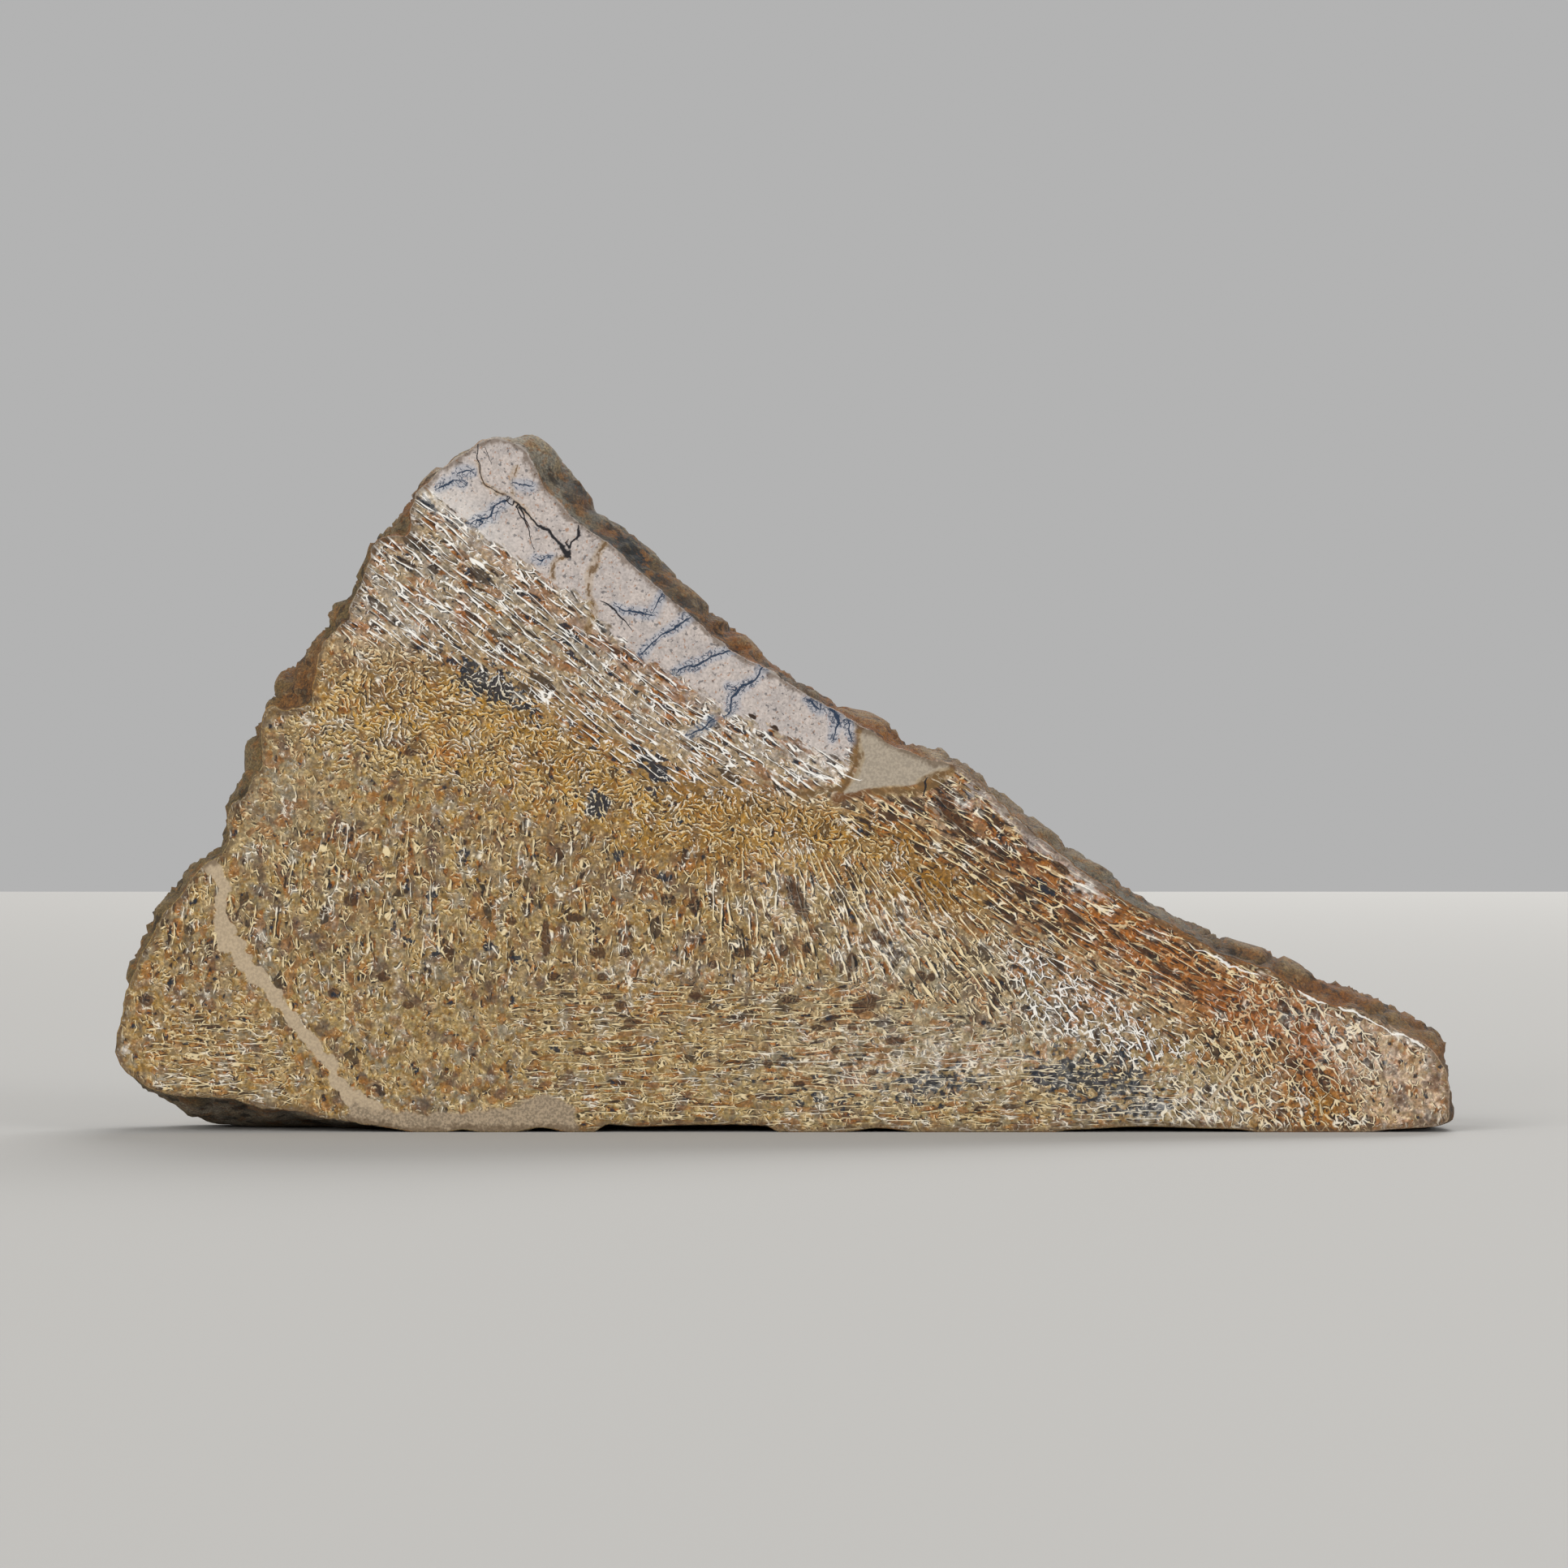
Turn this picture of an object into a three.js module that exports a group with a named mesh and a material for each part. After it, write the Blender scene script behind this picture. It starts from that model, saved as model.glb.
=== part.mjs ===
// Polished slab of fossil dinosaur bone, standing on its sawn base. One solid stone.
//
// Millimetres. +X runs along the base, +Y away from the polished face and +Z up.
// The origin is on the base, in the middle of its length and its depth.
// The front is flat and polished and the back is flat and sawn. Between them the stone keeps
// the bone's worn outer surface on the long upper slope and broken rock on the left.
import * as THREE from "three";
import { ImprovedNoise } from "three/addons/math/ImprovedNoise.js";

const THICKNESS = 20;
const FACE_Y = -THICKNESS / 2;

// Depths behind the polished face at which the outline of the stone is worked out.
const LAYER_DEPTHS = [0, 0.5, 1.5, 3, 5, 7.5, 10.5, 13.5, 16.5, 19, THICKNESS];
const STATION_STEP = 1.9;

// Relief of the rough sides: broad lumps, small knobs and pits, worn off at a common height,
// and the wear of the back edge.
const LUMP = { size: 8, height: 2.0 };
const KNOB = { size: 4, height: 1.0 };
const PIT = { size: 5, depth: 2.6, threshold: 0.2 };
const WORN_HEIGHT = 0.15;
const RELIEF_FADE_IN = 3.5;
const BACK_WEAR = { depth: 2.5, inset: 0.9 };

// The saw left nothing standing within this height of the base plane.
const SAWN_CLEAN = 0.25;

// The outline is a chain of stretches, clockwise seen from the front. A row holds the x and z
// of the polished face's edge, and the step from there out to the widest outline of the rough
// side behind it, in x and in z. reach is the depth at which the side gets that far out, and
// crag is the strength of its relief.
const BROKEN_LEFT = {
  reach: 6,
  crag: 1,
  rows: [
    [-76.6, 4.7, -0.2, -0.5],
    [-78.9, 5.7, -0.4, -0.5],
    [-80.8, 7.4, -0.4, -0.3],
    [-81.9, 8.7, -0.4, -0.2],
    [-82.4, 10.4, -0.3, 0],
    [-82.0, 12.8, -0.1, 0],
    [-80.8, 17.8, -0.2, 0],
    [-80.0, 19.6, -0.8, 0.1],
    [-79.4, 21.8, -0.9, 0.1],
    [-78.0, 24.2, -1.3, 0.2],
    [-77.4, 25.6, -1.5, 0.2],
    [-76.2, 27.4, -1.4, 0.5],
    [-74.6, 29.1, -1.3, 0.7],
    [-72.2, 32.3, -0.8, 0.3],
    [-71.0, 33.3, -1.0, 0.3],
    [-69.4, 34.0, -1.4, 1.0],
    [-68.6, 35.9, -1.5, 0.2],
    [-68.6, 38.3, -1.1, 0],
    [-68.2, 40.3, -1.2, 0.3],
    [-66.8, 41.0, -1.9, 0.5],
    [-66.0, 42.4, -2.1, 0.4],
    [-65.5, 43.8, -2.1, 0.2],
    [-64.5, 45.1, -2.7, 0.2],
    [-64.5, 47.5, -2.0, 0.1],
    [-64.5, 49.6, -0.7, 0.1],
    [-64.0, 51.5, -0.4, 0.1],
    [-63.3, 52.5, -0.6, 0.2],
    [-61.6, 52.1, -2.2, 1.1],
    [-59.6, 52.4, -4.0, 1.5],
    [-58.2, 53.4, -5.1, 1.2],
    [-58.2, 54.9, -4.8, 0.6],
    [-57.7, 56.5, -4.4, 0.3],
    [-57.6, 58.3, -2.8, -0.6],
    [-57.1, 59.5, -1.8, -0.2],
    [-56.5, 60.9, -1.2, 0],
    [-55.3, 62.0, -1.0, 0.2],
    [-53.9, 63.4, -2.1, 0.2],
    [-53.6, 65.0, -1.6, 0],
    [-52.5, 67.0, -1.0, 0],
    [-51.9, 68.7, -0.6, 0.1],
    [-51.0, 70.7, -0.4, 0.1],
    [-50.7, 72.5, -0.4, 0.1],
    [-49.8, 73.3, -0.5, 0.3],
    [-48.4, 73.5, -1.0, 0.9],
    [-46.8, 73.5, -1.8, 1.5],
    [-46.0, 74.2, -2.1, 1.3],
    [-46.1, 75.5, -1.7, 0.6],
    [-46.2, 76.7, -1.1, 0.2],
    [-45.6, 77.8, -0.6, 0.2],
    [-45.5, 78.7, -0.3, 0.1],
  ],
};

const CREST = {
  reach: 4,
  crag: 0.6,
  rows: [
    [-44.3, 79.8, -0.2, 0.1],
    [-42.5, 81.6, -0.2, 0.1],
    [-40.5, 83.0, -0.1, 0.2],
    [-38.5, 84.4, -0.1, 0.2],
    [-36.7, 85.4, 0, 0.2],
    [-35.3, 85.6, 0, 0.5],
    [-33.6, 85.2, 0.1, 1.1],
    [-31.8, 84.0, 1.1, 1.4],
    [-30.6, 82.0, 1.9, 1.7],
  ],
};

const OUTER_BONE = {
  reach: 5,
  crag: 0.55,
  rows: [
    [-29.4, 79.5, 2.2, 2.1],
    [-27.6, 77.5, 2.1, 2.1],
    [-24.6, 74.7, 2.0, 1.7],
    [-20.9, 72.2, 1.6, 1.6],
    [-18.1, 69.5, 1.8, 1.6],
    [-14.6, 66.4, 1.4, 1.4],
    [-11.1, 63.5, 1.1, 1.5],
    [-8.1, 60.8, 1.3, 1.6],
    [-6.3, 59.4, 1.2, 1.5],
    [-4.6, 58.4, 0.8, 1.2],
    [-2.6, 57.4, 0.4, 0.8],
    [-1.2, 56.6, 0.3, 0.5],
    [3.4, 53.8, 0.3, 0.5],
    [7.4, 51.6, 0.3, 0.6],
    [9.4, 50.3, 0.6, 1.1],
    [11.2, 49.3, 0.7, 1.2],
    [12.9, 48.1, 0.6, 1.1],
    [14.6, 47.4, 0.4, 0.8],
    [18.2, 45.8, 0.2, 1.0],
    [19.3, 45.6, 0.2, 1.3],
    [20.1, 45.5, 0.1, 0.6],
    [21.5, 45.2, 0.2, 0.7],
    [23.9, 43.3, 0.6, 0.5],
    [27.9, 39.5, 0.7, 0.5],
    [33.4, 34.9, 0.8, 0.8],
    [39.4, 30.5, 1.0, 0.9],
    [45.4, 26.8, 0.8, 0.8],
    [48.4, 25.3, 0.6, 0.8],
    [51.4, 23.6, 0.7, 0.9],
    [53.9, 22.0, 0.9, 1.4],
    [60.2, 19.9, 0.9, 1.4],
    [62.4, 18.3, 1.2, 1.8],
    [64.6, 17.0, 1.1, 2.0],
    [67.4, 15.8, 1.1, 2.5],
    [70.4, 15.2, 1.2, 1.7],
    [74.9, 12.9, 1.5, 1.5],
    [79.1, 10.8, 1.5, 1.1],
  ],
};

const BLUNT_RIGHT_END = {
  reach: 4,
  crag: 0.8,
  rows: [
    [80.3, 9.7, 1.5, 1.2],
    [81.2, 8.4, 1.0, 0.7],
    [81.8, 7.2, 0.9, 0.4],
    [82.0, 4.8, 0.7, 0],
    [82.1, 2.2, 0.7, 0],
    [81.7, 1.2, 0.4, -0.3],
  ],
};

// The base is sawn flat. Shallow chips lift its front edge, and run out towards the back.
const SAWN_BASE = {
  reach: 14,
  crag: 0,
  rows: [
    [80.2, 0.7, 0, -0.7],
    [77.7, 0.5, 0, -0.5],
    [68.2, 0, 0, 0],
    [61.9, 0, 0, 0],
    [56.4, 0.3, 0, -0.3],
    [50.4, 0.5, 0, -0.5],
    [42.9, 0.7, 0, -0.7],
    [38.4, 0.4, 0, -0.4],
    [29.4, 0.1, 0, -0.1],
    [20.4, 0, 0, 0],
    [16.0, 0.1, 0, -0.1],
    [11.4, 0.5, 0, -0.5],
    [7.4, 0, 0, 0],
    [-0.6, 0.1, 0, -0.1],
    [-2.0, 0.7, 0, -0.7],
    [-9.6, 0.9, 0, -0.9],
    [-18.6, 0.7, 0, -0.7],
    [-22.0, 0.9, 0, -0.9],
    [-23.4, 0.1, 0, -0.1],
    [-30.6, 0.5, 0, -0.5],
    [-33.6, 0, 0, 0],
    [-39.6, 0.3, 0, -0.3],
    [-45.6, 0.1, 0, -0.1],
    [-48.6, 0.5, 0, -0.5],
  ],
};

// At the lower left the face is chipped away above the base, and a ledge slopes down to the
// flat well behind it.
const CHIPPED_LEDGE = {
  reach: 14,
  crag: 0,
  rows: [
    [-51.6, 1.0, 0, -1.0],
    [-56.6, 1.7, 0, -1.7],
    [-59.1, 2.5, 0, -2.5],
    [-64.1, 2.9, 0, -2.9],
    [-67.6, 3.9, 0, -3.8],
    [-71.0, 4.2, 0, -3.8],
    [-73.6, 4.3, 0, -3.0],
    [-75.4, 4.5, 0, -1.6],
  ],
};

const STRETCHES = [BROKEN_LEFT, CREST, OUTER_BONE, BLUNT_RIGHT_END, SAWN_BASE, CHIPPED_LEDGE];

const noise = new ImprovedNoise();

function fossilStone() {
  return new THREE.MeshStandardMaterial({ color: 0xc9b299, roughness: 0.32, metalness: 0 });
}

// Every row of the outline, with its stretch's reach and crag.
function outlineRows() {
  return STRETCHES.flatMap(({ reach, crag, rows }) =>
    rows.map(([x, z, outX, outZ]) => ({ x, z, outX, outZ, reach, crag })),
  );
}

// Stations along the smooth closed curve through the rows, about STATION_STEP apart. Every row
// is a station, so that corners stay where they are.
function outlineStations() {
  const rows = outlineRows();
  const points = rows.map(({ x, z }) => new THREE.Vector3(x, 0, z));
  const curve = new THREE.CatmullRomCurve3(points, true, "centripetal");
  const stations = [];
  rows.forEach((row, index) => {
    const next = rows[(index + 1) % rows.length];
    const span = points[index].distanceTo(points[(index + 1) % rows.length]);
    const pieces = Math.max(1, Math.round(span / STATION_STEP));
    for (let piece = 0; piece < pieces; piece += 1) {
      const along = piece / pieces;
      const { x, z } = curve.getPoint((index + along) / rows.length);
      const between = (key) => THREE.MathUtils.lerp(row[key], next[key], along);
      stations.push({
        x,
        z,
        outX: between("outX"),
        outZ: between("outZ"),
        reach: between("reach"),
        crag: between("crag"),
      });
    }
  });
  return addNormals(stations);
}

// The outward direction of the wide outline at each station, in the plane of the slab.
function addNormals(stations) {
  const count = stations.length;
  const wide = stations.map(({ x, z, outX, outZ }) => new THREE.Vector2(x + outX, z + outZ));
  return stations.map((station, index) => {
    const before = wide[(index + count - 2) % count];
    const after = wide[(index + 2) % count];
    const along = after.clone().sub(before).normalize();
    return { ...station, normal: new THREE.Vector2(-along.y, along.x) };
  });
}

// Height of the rough side's relief at a point, before the stretch's crag scales it.
function relief(x, y, z) {
  const lump = LUMP.height * noise.noise(x / LUMP.size, y / LUMP.size, z / LUMP.size);
  const knob = KNOB.height * noise.noise(x / KNOB.size + 40, y / KNOB.size, z / KNOB.size);
  const hollow = noise.noise(x / PIT.size, y / PIT.size + 70, z / PIT.size) - PIT.threshold;
  return Math.min(WORN_HEIGHT, lump + knob - PIT.depth * Math.max(0, hollow));
}

function sawnHeight(z) {
  return z < SAWN_CLEAN ? 0 : z;
}

// Where a station's side stands at a depth behind the face.
function sidePoint(station, depth) {
  const out = THREE.MathUtils.smoothstep(depth, 0, station.reach);
  const x = station.x + station.outX * out;
  const z = station.z + station.outZ * out;
  const rough = relief(x, depth, z) * THREE.MathUtils.smoothstep(depth, 0, RELIEF_FADE_IN);
  const wear = THREE.MathUtils.smoothstep(depth, THICKNESS - BACK_WEAR.depth, THICKNESS);
  const push = station.crag * (rough - BACK_WEAR.inset * wear);
  return new THREE.Vector3(
    x + station.normal.x * push,
    FACE_Y + depth,
    sawnHeight(z + station.normal.y * push),
  );
}

// Triangles of a flat cap over one ring of points, facing +Y or -Y.
function capTriangles(ring, firstIndex, facesBack) {
  const contour = ring.map(({ x, z }) => new THREE.Vector2(x, z));
  return THREE.ShapeUtils.triangulateShape(contour, []).flatMap(([a, b, c]) => {
    const [p, q, r] = [contour[a], contour[b], contour[c]];
    const turnsLeft = q.clone().sub(p).cross(r.clone().sub(p)) > 0;
    const corners = turnsLeft === facesBack ? [a, c, b] : [a, b, c];
    return corners.map((corner) => firstIndex + corner);
  });
}

// Two triangles for each cell between one ring and the next ring behind it.
function sideTriangles(count, layers) {
  const triangles = [];
  for (let layer = 0; layer < layers - 1; layer += 1) {
    for (let index = 0; index < count; index += 1) {
      const front = layer * count + index;
      const frontNext = layer * count + ((index + 1) % count);
      const [back, backNext] = [front + count, frontNext + count];
      triangles.push(front, backNext, back, front, frontNext, backNext);
    }
  }
  return triangles;
}

function boneSlab() {
  const stations = outlineStations();
  const rings = LAYER_DEPTHS.map((depth) => stations.map((station) => sidePoint(station, depth)));
  const count = stations.length;
  const lastRing = rings.length - 1;
  const geometry = new THREE.BufferGeometry().setFromPoints(rings.flat());
  geometry.setIndex([
    ...capTriangles(rings[0], 0, false),
    ...sideTriangles(count, rings.length),
    ...capTriangles(rings[lastRing], lastRing * count, true),
  ]);
  geometry.computeVertexNormals();
  const mesh = new THREE.Mesh(geometry, fossilStone());
  mesh.name = "bone_slab";
  return mesh;
}

const group = new THREE.Group();
group.add(boneSlab());

export default group;
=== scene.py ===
"""Looks for a polished slab of fossil dinosaur bone: one stone, finely meshed over the CAD solid.

Lengths are in millimetres until a mesh is written. +X runs along the base, +Y away from the
polished face, +Z up, and a place on the face is (x, z).
"""
import math

import bpy
import numpy as np
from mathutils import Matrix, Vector, geometry, kdtree, noise


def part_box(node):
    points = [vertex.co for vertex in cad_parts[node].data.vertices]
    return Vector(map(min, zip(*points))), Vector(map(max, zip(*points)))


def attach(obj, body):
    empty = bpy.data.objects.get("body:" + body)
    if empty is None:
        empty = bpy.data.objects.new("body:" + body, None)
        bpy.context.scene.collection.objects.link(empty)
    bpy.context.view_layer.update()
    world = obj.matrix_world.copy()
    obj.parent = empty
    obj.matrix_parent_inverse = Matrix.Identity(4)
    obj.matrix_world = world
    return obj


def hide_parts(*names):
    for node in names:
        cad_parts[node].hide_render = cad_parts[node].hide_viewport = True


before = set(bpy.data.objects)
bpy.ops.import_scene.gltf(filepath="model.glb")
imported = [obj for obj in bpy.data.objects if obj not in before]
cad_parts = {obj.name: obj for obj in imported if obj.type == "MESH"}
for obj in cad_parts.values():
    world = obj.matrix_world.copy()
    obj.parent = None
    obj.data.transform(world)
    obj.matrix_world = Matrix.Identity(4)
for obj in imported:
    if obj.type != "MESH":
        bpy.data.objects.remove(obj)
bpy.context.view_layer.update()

MM = 0.001
LOW, HIGH = (np.array(corner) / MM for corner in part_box("bone_slab"))
FRONT, BACK = LOW[1], HIGH[1]

# ---------------------------------------------------------------- sizes of the mesh

FACE_SPACING = 0.46          # between points of the polished face
BACK_SPACING = 1.3
LAYOUT_MARGIN = 0.004        # round each part of the flat layout, whose side is 1
SIDE_ROWS = 29
ROW_CROWDING = 1.25          # above 1, rows stand closer together near the polished face
EASED_EDGE = 0.14            # width of the polish's rounded rim
LEVEL_START = (62.0, 0.0)    # on the straight part of the base, where every ring starts

# Fine relief of the broken sides, over the lumps that the CAD solid has.
RELIEF = [{"size": 6.0, "height": 0.75}, {"size": 2.2, "height": 0.5},
          {"size": 0.8, "height": 0.22}]
MOST_RELIEF = 0.5            # outward
BREAKS = (0.9, 2.1, 3, 0.6)  # the relief's dimension, lacunarity, octaves and offset
RELIEF_STRETCH = (1.0, 0.6, 1.0)    # its chips reach farther through the slab
CRUMBLY = {"size": 11.0, "least": 0.55}     # patches of strong relief between calmer ones
# How the rough side's colours stray from their places.
DRIFT = {"size": 6.0, "reach": 3.5, "growth": 0.8, "shifts": ((3, 0, 0), (0, 0, 9))}
RAGGED_EDGE = 0.3            # share of the relief that reaches the polished edge
BASE_CLEAR = (0.3, 2.5)      # heights over which the relief starts above the sawn base

# ---------------------------------------------------------------- colours

def tint(red, green, blue):
    """A colour given as it shows on screen, 0 to 255, in Blender's linear values."""
    shown = np.array([red, green, blue]) / 255
    linear = np.where(shown <= 0.04045, shown / 12.92, ((shown + 0.055) / 1.055) ** 2.4)
    return (*(float(value) for value in linear), 1.0)


BEIGE = tint(154, 131, 83)
TAN = tint(155, 125, 71)
GOLDEN = tint(174, 128, 36)
OCHRE = tint(136, 94, 14)
GREY_BEIGE = tint(156, 143, 116)
PINK_CREAM = tint(184, 173, 166)
RUSSET = tint(108, 62, 22)
FOX = tint(144, 88, 28)
BLUE_GREY = tint(124, 122, 114)
RED_BROWN = tint(126, 82, 42)
PALE_FILL = tint(162, 138, 100)
ASH = tint(162, 150, 134)
ROSY = tint(194, 168, 144)

WALL_CREAM = tint(226, 206, 162)
WALL_WHITE = tint(240, 237, 230)
PORE_BROWN = tint(48, 30, 16)
PORE_UMBER = tint(70, 42, 18)
PORE_VIOLET = tint(86, 66, 56)
# Painted shadow: the dark line on one side of each bone wall.
PAINTED_SHADOW_TINT = tint(18, 13, 9)
BAND_GREY = tint(164, 156, 152)
RUST = tint(148, 80, 12)
SOOT = tint(18, 32, 46)
CRACK_BLACK = tint(22, 20, 24)
VEIN_BLUE = tint(8, 38, 64)
VEIN_HALO = tint(142, 158, 178)
VEIN_RUST = tint(100, 74, 42)
MATRIX_GREY = tint(156, 144, 127)
MATRIX_BORDER = tint(100, 62, 26)
CREAM_FILL = tint(154, 136, 112)
CREAM_PINK = tint(172, 153, 126)

ROCK_TAN = tint(114, 93, 60)
ROCK_OCHRE = tint(132, 88, 40)
ROCK_DARK = tint(36, 28, 20)
ROCK_PALE = tint(140, 122, 90)
RIND_GREY = tint(96, 93, 82)
RIND_BLACK = tint(30, 33, 34)
RIND_FOX = tint(114, 68, 24)
RIND_BROWN = tint(84, 64, 42)
RIND_TAN = tint(116, 98, 74)
RIND_PALE = tint(162, 151, 134)
RIND_OLIVE = tint(100, 82, 48)
SAWN_DUST = tint(160, 142, 114)
FLOOR_PALE = tint(176, 174, 170)

# ---------------------------------------------------------------- marks on the face

# The line that the streaks of the outer bone run along: the long upper slope, evened out.
SLOPE_LINE = [(-90, 122), (-60, 102), (-35, 84.5), (-20, 72), (-2, 58.5), (14, 48.5), (28, 39.5),
              (42, 30.5), (60, 20.5), (82, 10), (115, -4)]

# How far the walls of the fan lean to the left, in degrees from upright, by where they cross
# the height FAN_LEVEL.
FAN_LEVEL = 22.0
FAN_LEAN = {"x": (-12, 0, 10, 22, 38, 60), "degrees": (0, 9, 24, 38, 50, 56)}

# Regions of the bone, each with its outline.
REGIONS = {
    "cortex": [(-52, 88), (-43.8, 79.3), (-38.7, 74.8), (-34.2, 71.6), (-31.3, 69.7), (-28.1, 67.3),
        (-24, 65.4), (-22.4, 62.6), (-17.9, 58.9), (-13.1, 56.1), (-7.4, 52.2), (-.8, 49.2), (4.4, 46.9),
        (7.6, 45.6), (9.4, 51), (-2, 64), (-20, 82), (-34, 94)],
    "cortex_right": [(19.5, 46.5), (22.5, 43), (27, 38.8), (31, 35), (34, 32.6), (37, 30.6), (40, 28.6),
        (38, 34), (30, 41), (24, 47)],
    "fine_tip": [(73, 12.8), (78, 11), (90, 10), (90, -4), (72, -4), (73.5, 5)],
    "golden": [(-62, 48), (-52, 62), (-34, 58), (-14, 46), (6, 44), (17, 38), (18, 30), (8, 33),
        (-10, 34), (-26, 38), (-44, 43)],
    "streaks": [(-72, 62), (-45, 92), (-10, 66), (12, 50), (9, 44), (3, 41), (-6.6, 41), (-13.6, 42),
        (-24.6, 47.5), (-34.6, 54.5), (-46.6, 59.5), (-56.6, 62)],
    "wedge": [(5, 41.5), (14, 46), (23, 50), (44, 34), (66, 21), (62, 12.5), (51, 9.5), (43, 14.5),
        (33, 21), (26, 27), (16, 34), (8, 39)],
    "fan": [(-9, 32.5), (8, 34.5), (18, 33), (27, 26.5), (36, 19), (40, 14), (38, 9), (34, 10),
        (18, 16.5), (3, 19), (-9, 20)],
    "lamellae": [(-33, 16), (-21, 18), (-7, 19), (8, 18), (23, 13.5), (38, 8.5), (49, 7), (49, -3),
        (-33, -3)],
    "left_lamellae": [(-79, 13), (-64, 15), (-60, 6), (-63, 2), (-77, 3)],
    "uprights": [(-82, 33), (-60, 37), (-30, 38), (-9, 34), (-8, 19), (-33, 16), (-60, 16), (-66, 20),
        (-84, 20)],
    "net": [(26, 24), (34, 22), (44, 15.5), (52, 9.5), (44, 7.5), (30, 13)],
    "tip": [(50, 12), (60, 20), (90, 16), (90, -4), (46, -4)],
    "matrix": [(9.2, 48.9), (10.9, 51), (13.4, 50), (19.5, 47.5), (20.6, 44.8), (19.2, 44.3),
        (16.1, 42.7), (10.9, 42.4), (7.5, 41.7), (6.5, 41), (8.2, 43.1), (9.2, 45.5)],
    "cream_patch": [(-53, 4.2), (-51.6, 3), (-45.1, 2.3), (-39.8, 2.8), (-34.1, 2.8), (-32.5, 3.6),
        (-29.8, 4.9), (-27.2, 4.4), (-25.8, 2.5), (-25, -3), (-56, -3)],
}

# Lines, each with its width at every point.
LINES = {
    "cracks": [
        [(-37.4, 86, .2), (-37.4, 82.5, .22), (-36.9, 79.8, .15), (-34.6, 78.3, .12), (-31.8, 76.5, .3),
         (-29.9, 74.5, .45), (-27.6, 72.5, .6), (-26.4, 71.1, .8)],
        [(-36.4, 84.7, .12), (-35.8, 83.3, .1), (-35.7, 82.4, .05)],
        [(-25.4, 74.7, .3), (-25.4, 73.5, .45), (-26.2, 72.7, .4), (-26.4, 71.1, .5)],
        [(-34.4, 77.5, .15), (-32.8, 76.5, .25), (-32.2, 75.5, .25), (-31.6, 73.7, .2),
         (-30.8, 71.7, .1)],
        [(-22.1, 65.3, .2), (-20.6, 63.8, .35), (-18.9, 62.1, .15)],
        [(17.4, 43.4, .3), (17.4, 42, .3)],
    ],
    "blue_veins": [
        [(-42.3, 79.5, .2), (-41.4, 79.8, .3), (-40.7, 80.3, .2), (-39.9, 79.9, .1)],
        [(-40.3, 81, .1), (-39, 81.8, .25), (-38.3, 81.5, .1)],
        [(-38.4, 75, .1), (-36.8, 75.5, .25), (-36, 75.7, .2), (-35.4, 76.9, .25), (-34.4, 77.5, .2)],
        [(-37.4, 74.5, .2), (-36.6, 75, .1)],
        [(-30.6, 70.7, .1), (-29.8, 70.3, .2), (-28.6, 70.7, .1)],
        [(-20.8, 64.8, .15), (-19.6, 64.2, .3), (-18.1, 64.3, .3), (-16.7, 63.8, .15)],
        [(-15.4, 65.9, .25), (-16.3, 64.6, .15)],
        [(-11.9, 63.4, .15), (-13.5, 62.4, .3), (-15.5, 60.8, .25), (-17.5, 59, .2)],
        [(-6.6, 59.4, .2), (-10, 58.3, .3), (-12.8, 57.3, .3), (-13.1, 56.8, .15)],
        [(-2.8, 57.4, .25), (-4.1, 55.9, .35), (-5.3, 55.1, .35), (-6.1, 53.5, .3), (-6.6, 51.7, .2)],
        [(-5.3, 55.1, .2), (-6.8, 54.9, .1)],
        [(-8.4, 51, .2), (-9.8, 49.8, .25), (-11.4, 48.9, .15)],
        [(-33.1, 79.8, .1), (-31.3, 79.6, .2)],
        [(5, 53.6, .15), (5.8, 52, .3), (6.2, 50.2, .35), (5.6, 48.6, .2)],
        [(2.4, 53.4, .15), (3.3, 52.6, .3), (4.4, 52.2, .15)],
        [(7.4, 50.2, .25), (8.2, 48.4, .25)],
    ],
    "rust_veins": [
        [(-37.6, 82.5, .1), (-36.9, 79.8, .25), (-34.6, 78.3, .35), (-31.8, 76.5, .3), (-30.5, 75, .1)],
        [(-33.2, 82, .2), (-33.6, 80.5, .15), (-33.4, 78.5, .1)],
        [(-26.4, 71.1, .3), (-27.6, 70.5, .4), (-27.8, 69.5, .5), (-28.2, 68.3, .5)],
        [(-21.6, 73, .3), (-22.8, 71.5, .45), (-24, 68.8, .4), (-23.2, 64.6, .5), (-24, 61.4, .5)],
        [(2, 41.7, .8), (4.4, 42, .9), (7.2, 42.2, .7), (8.6, 44.4, .7), (9, 46, .8), (9, 49, .6)],
        [(10.9, 42, .6), (16.1, 42.3, .8), (17.6, 43.2, 1.2), (19, 44, .8), (20.5, 44.5, .5)],
    ],
    "cream_veins": [
        [(-70.6, 33.4, 1.6), (-69.8, 31.7, 1.7), (-69.1, 29.1, 1.6), (-69, 25.8, 2), (-68.3, 23.4, 2.4),
         (-66.6, 21.1, 2.4), (-63.7, 17.8, 1.9), (-61.4, 15, 1.8), (-59.6, 12.5, 1.7),
         (-57.8, 10.7, 1.6), (-56.3, 9, 1.7), (-55, 6.5, 1.9), (-53, 4.2, 2), (-50, 2, 2.4)],
        [(56.6, 9, .3), (55, 7, .5), (52.1, 3.6, .3)],
    ],
    "white_veins": [
        [(60.5, 19.9, .1), (63.1, 17.4, .3), (66.8, 15.8, .35), (71.6, 14.6, .3), (74.8, 12.1, .15)],
        [(75, 12.3, .3), (76.8, 11.7, .6), (78.4, 10.9, .4)],
        [(50, 23.2, .1), (54, 20.8, .3), (58, 19.6, .2)],
        [(5.4, 45.6, .2), (7.4, 44.2, .3), (9, 43.4, .15)],
        [(2, 45.8, .15), (5, 43.8, .3), (7, 42.6, .15)],
    ],
}
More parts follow.
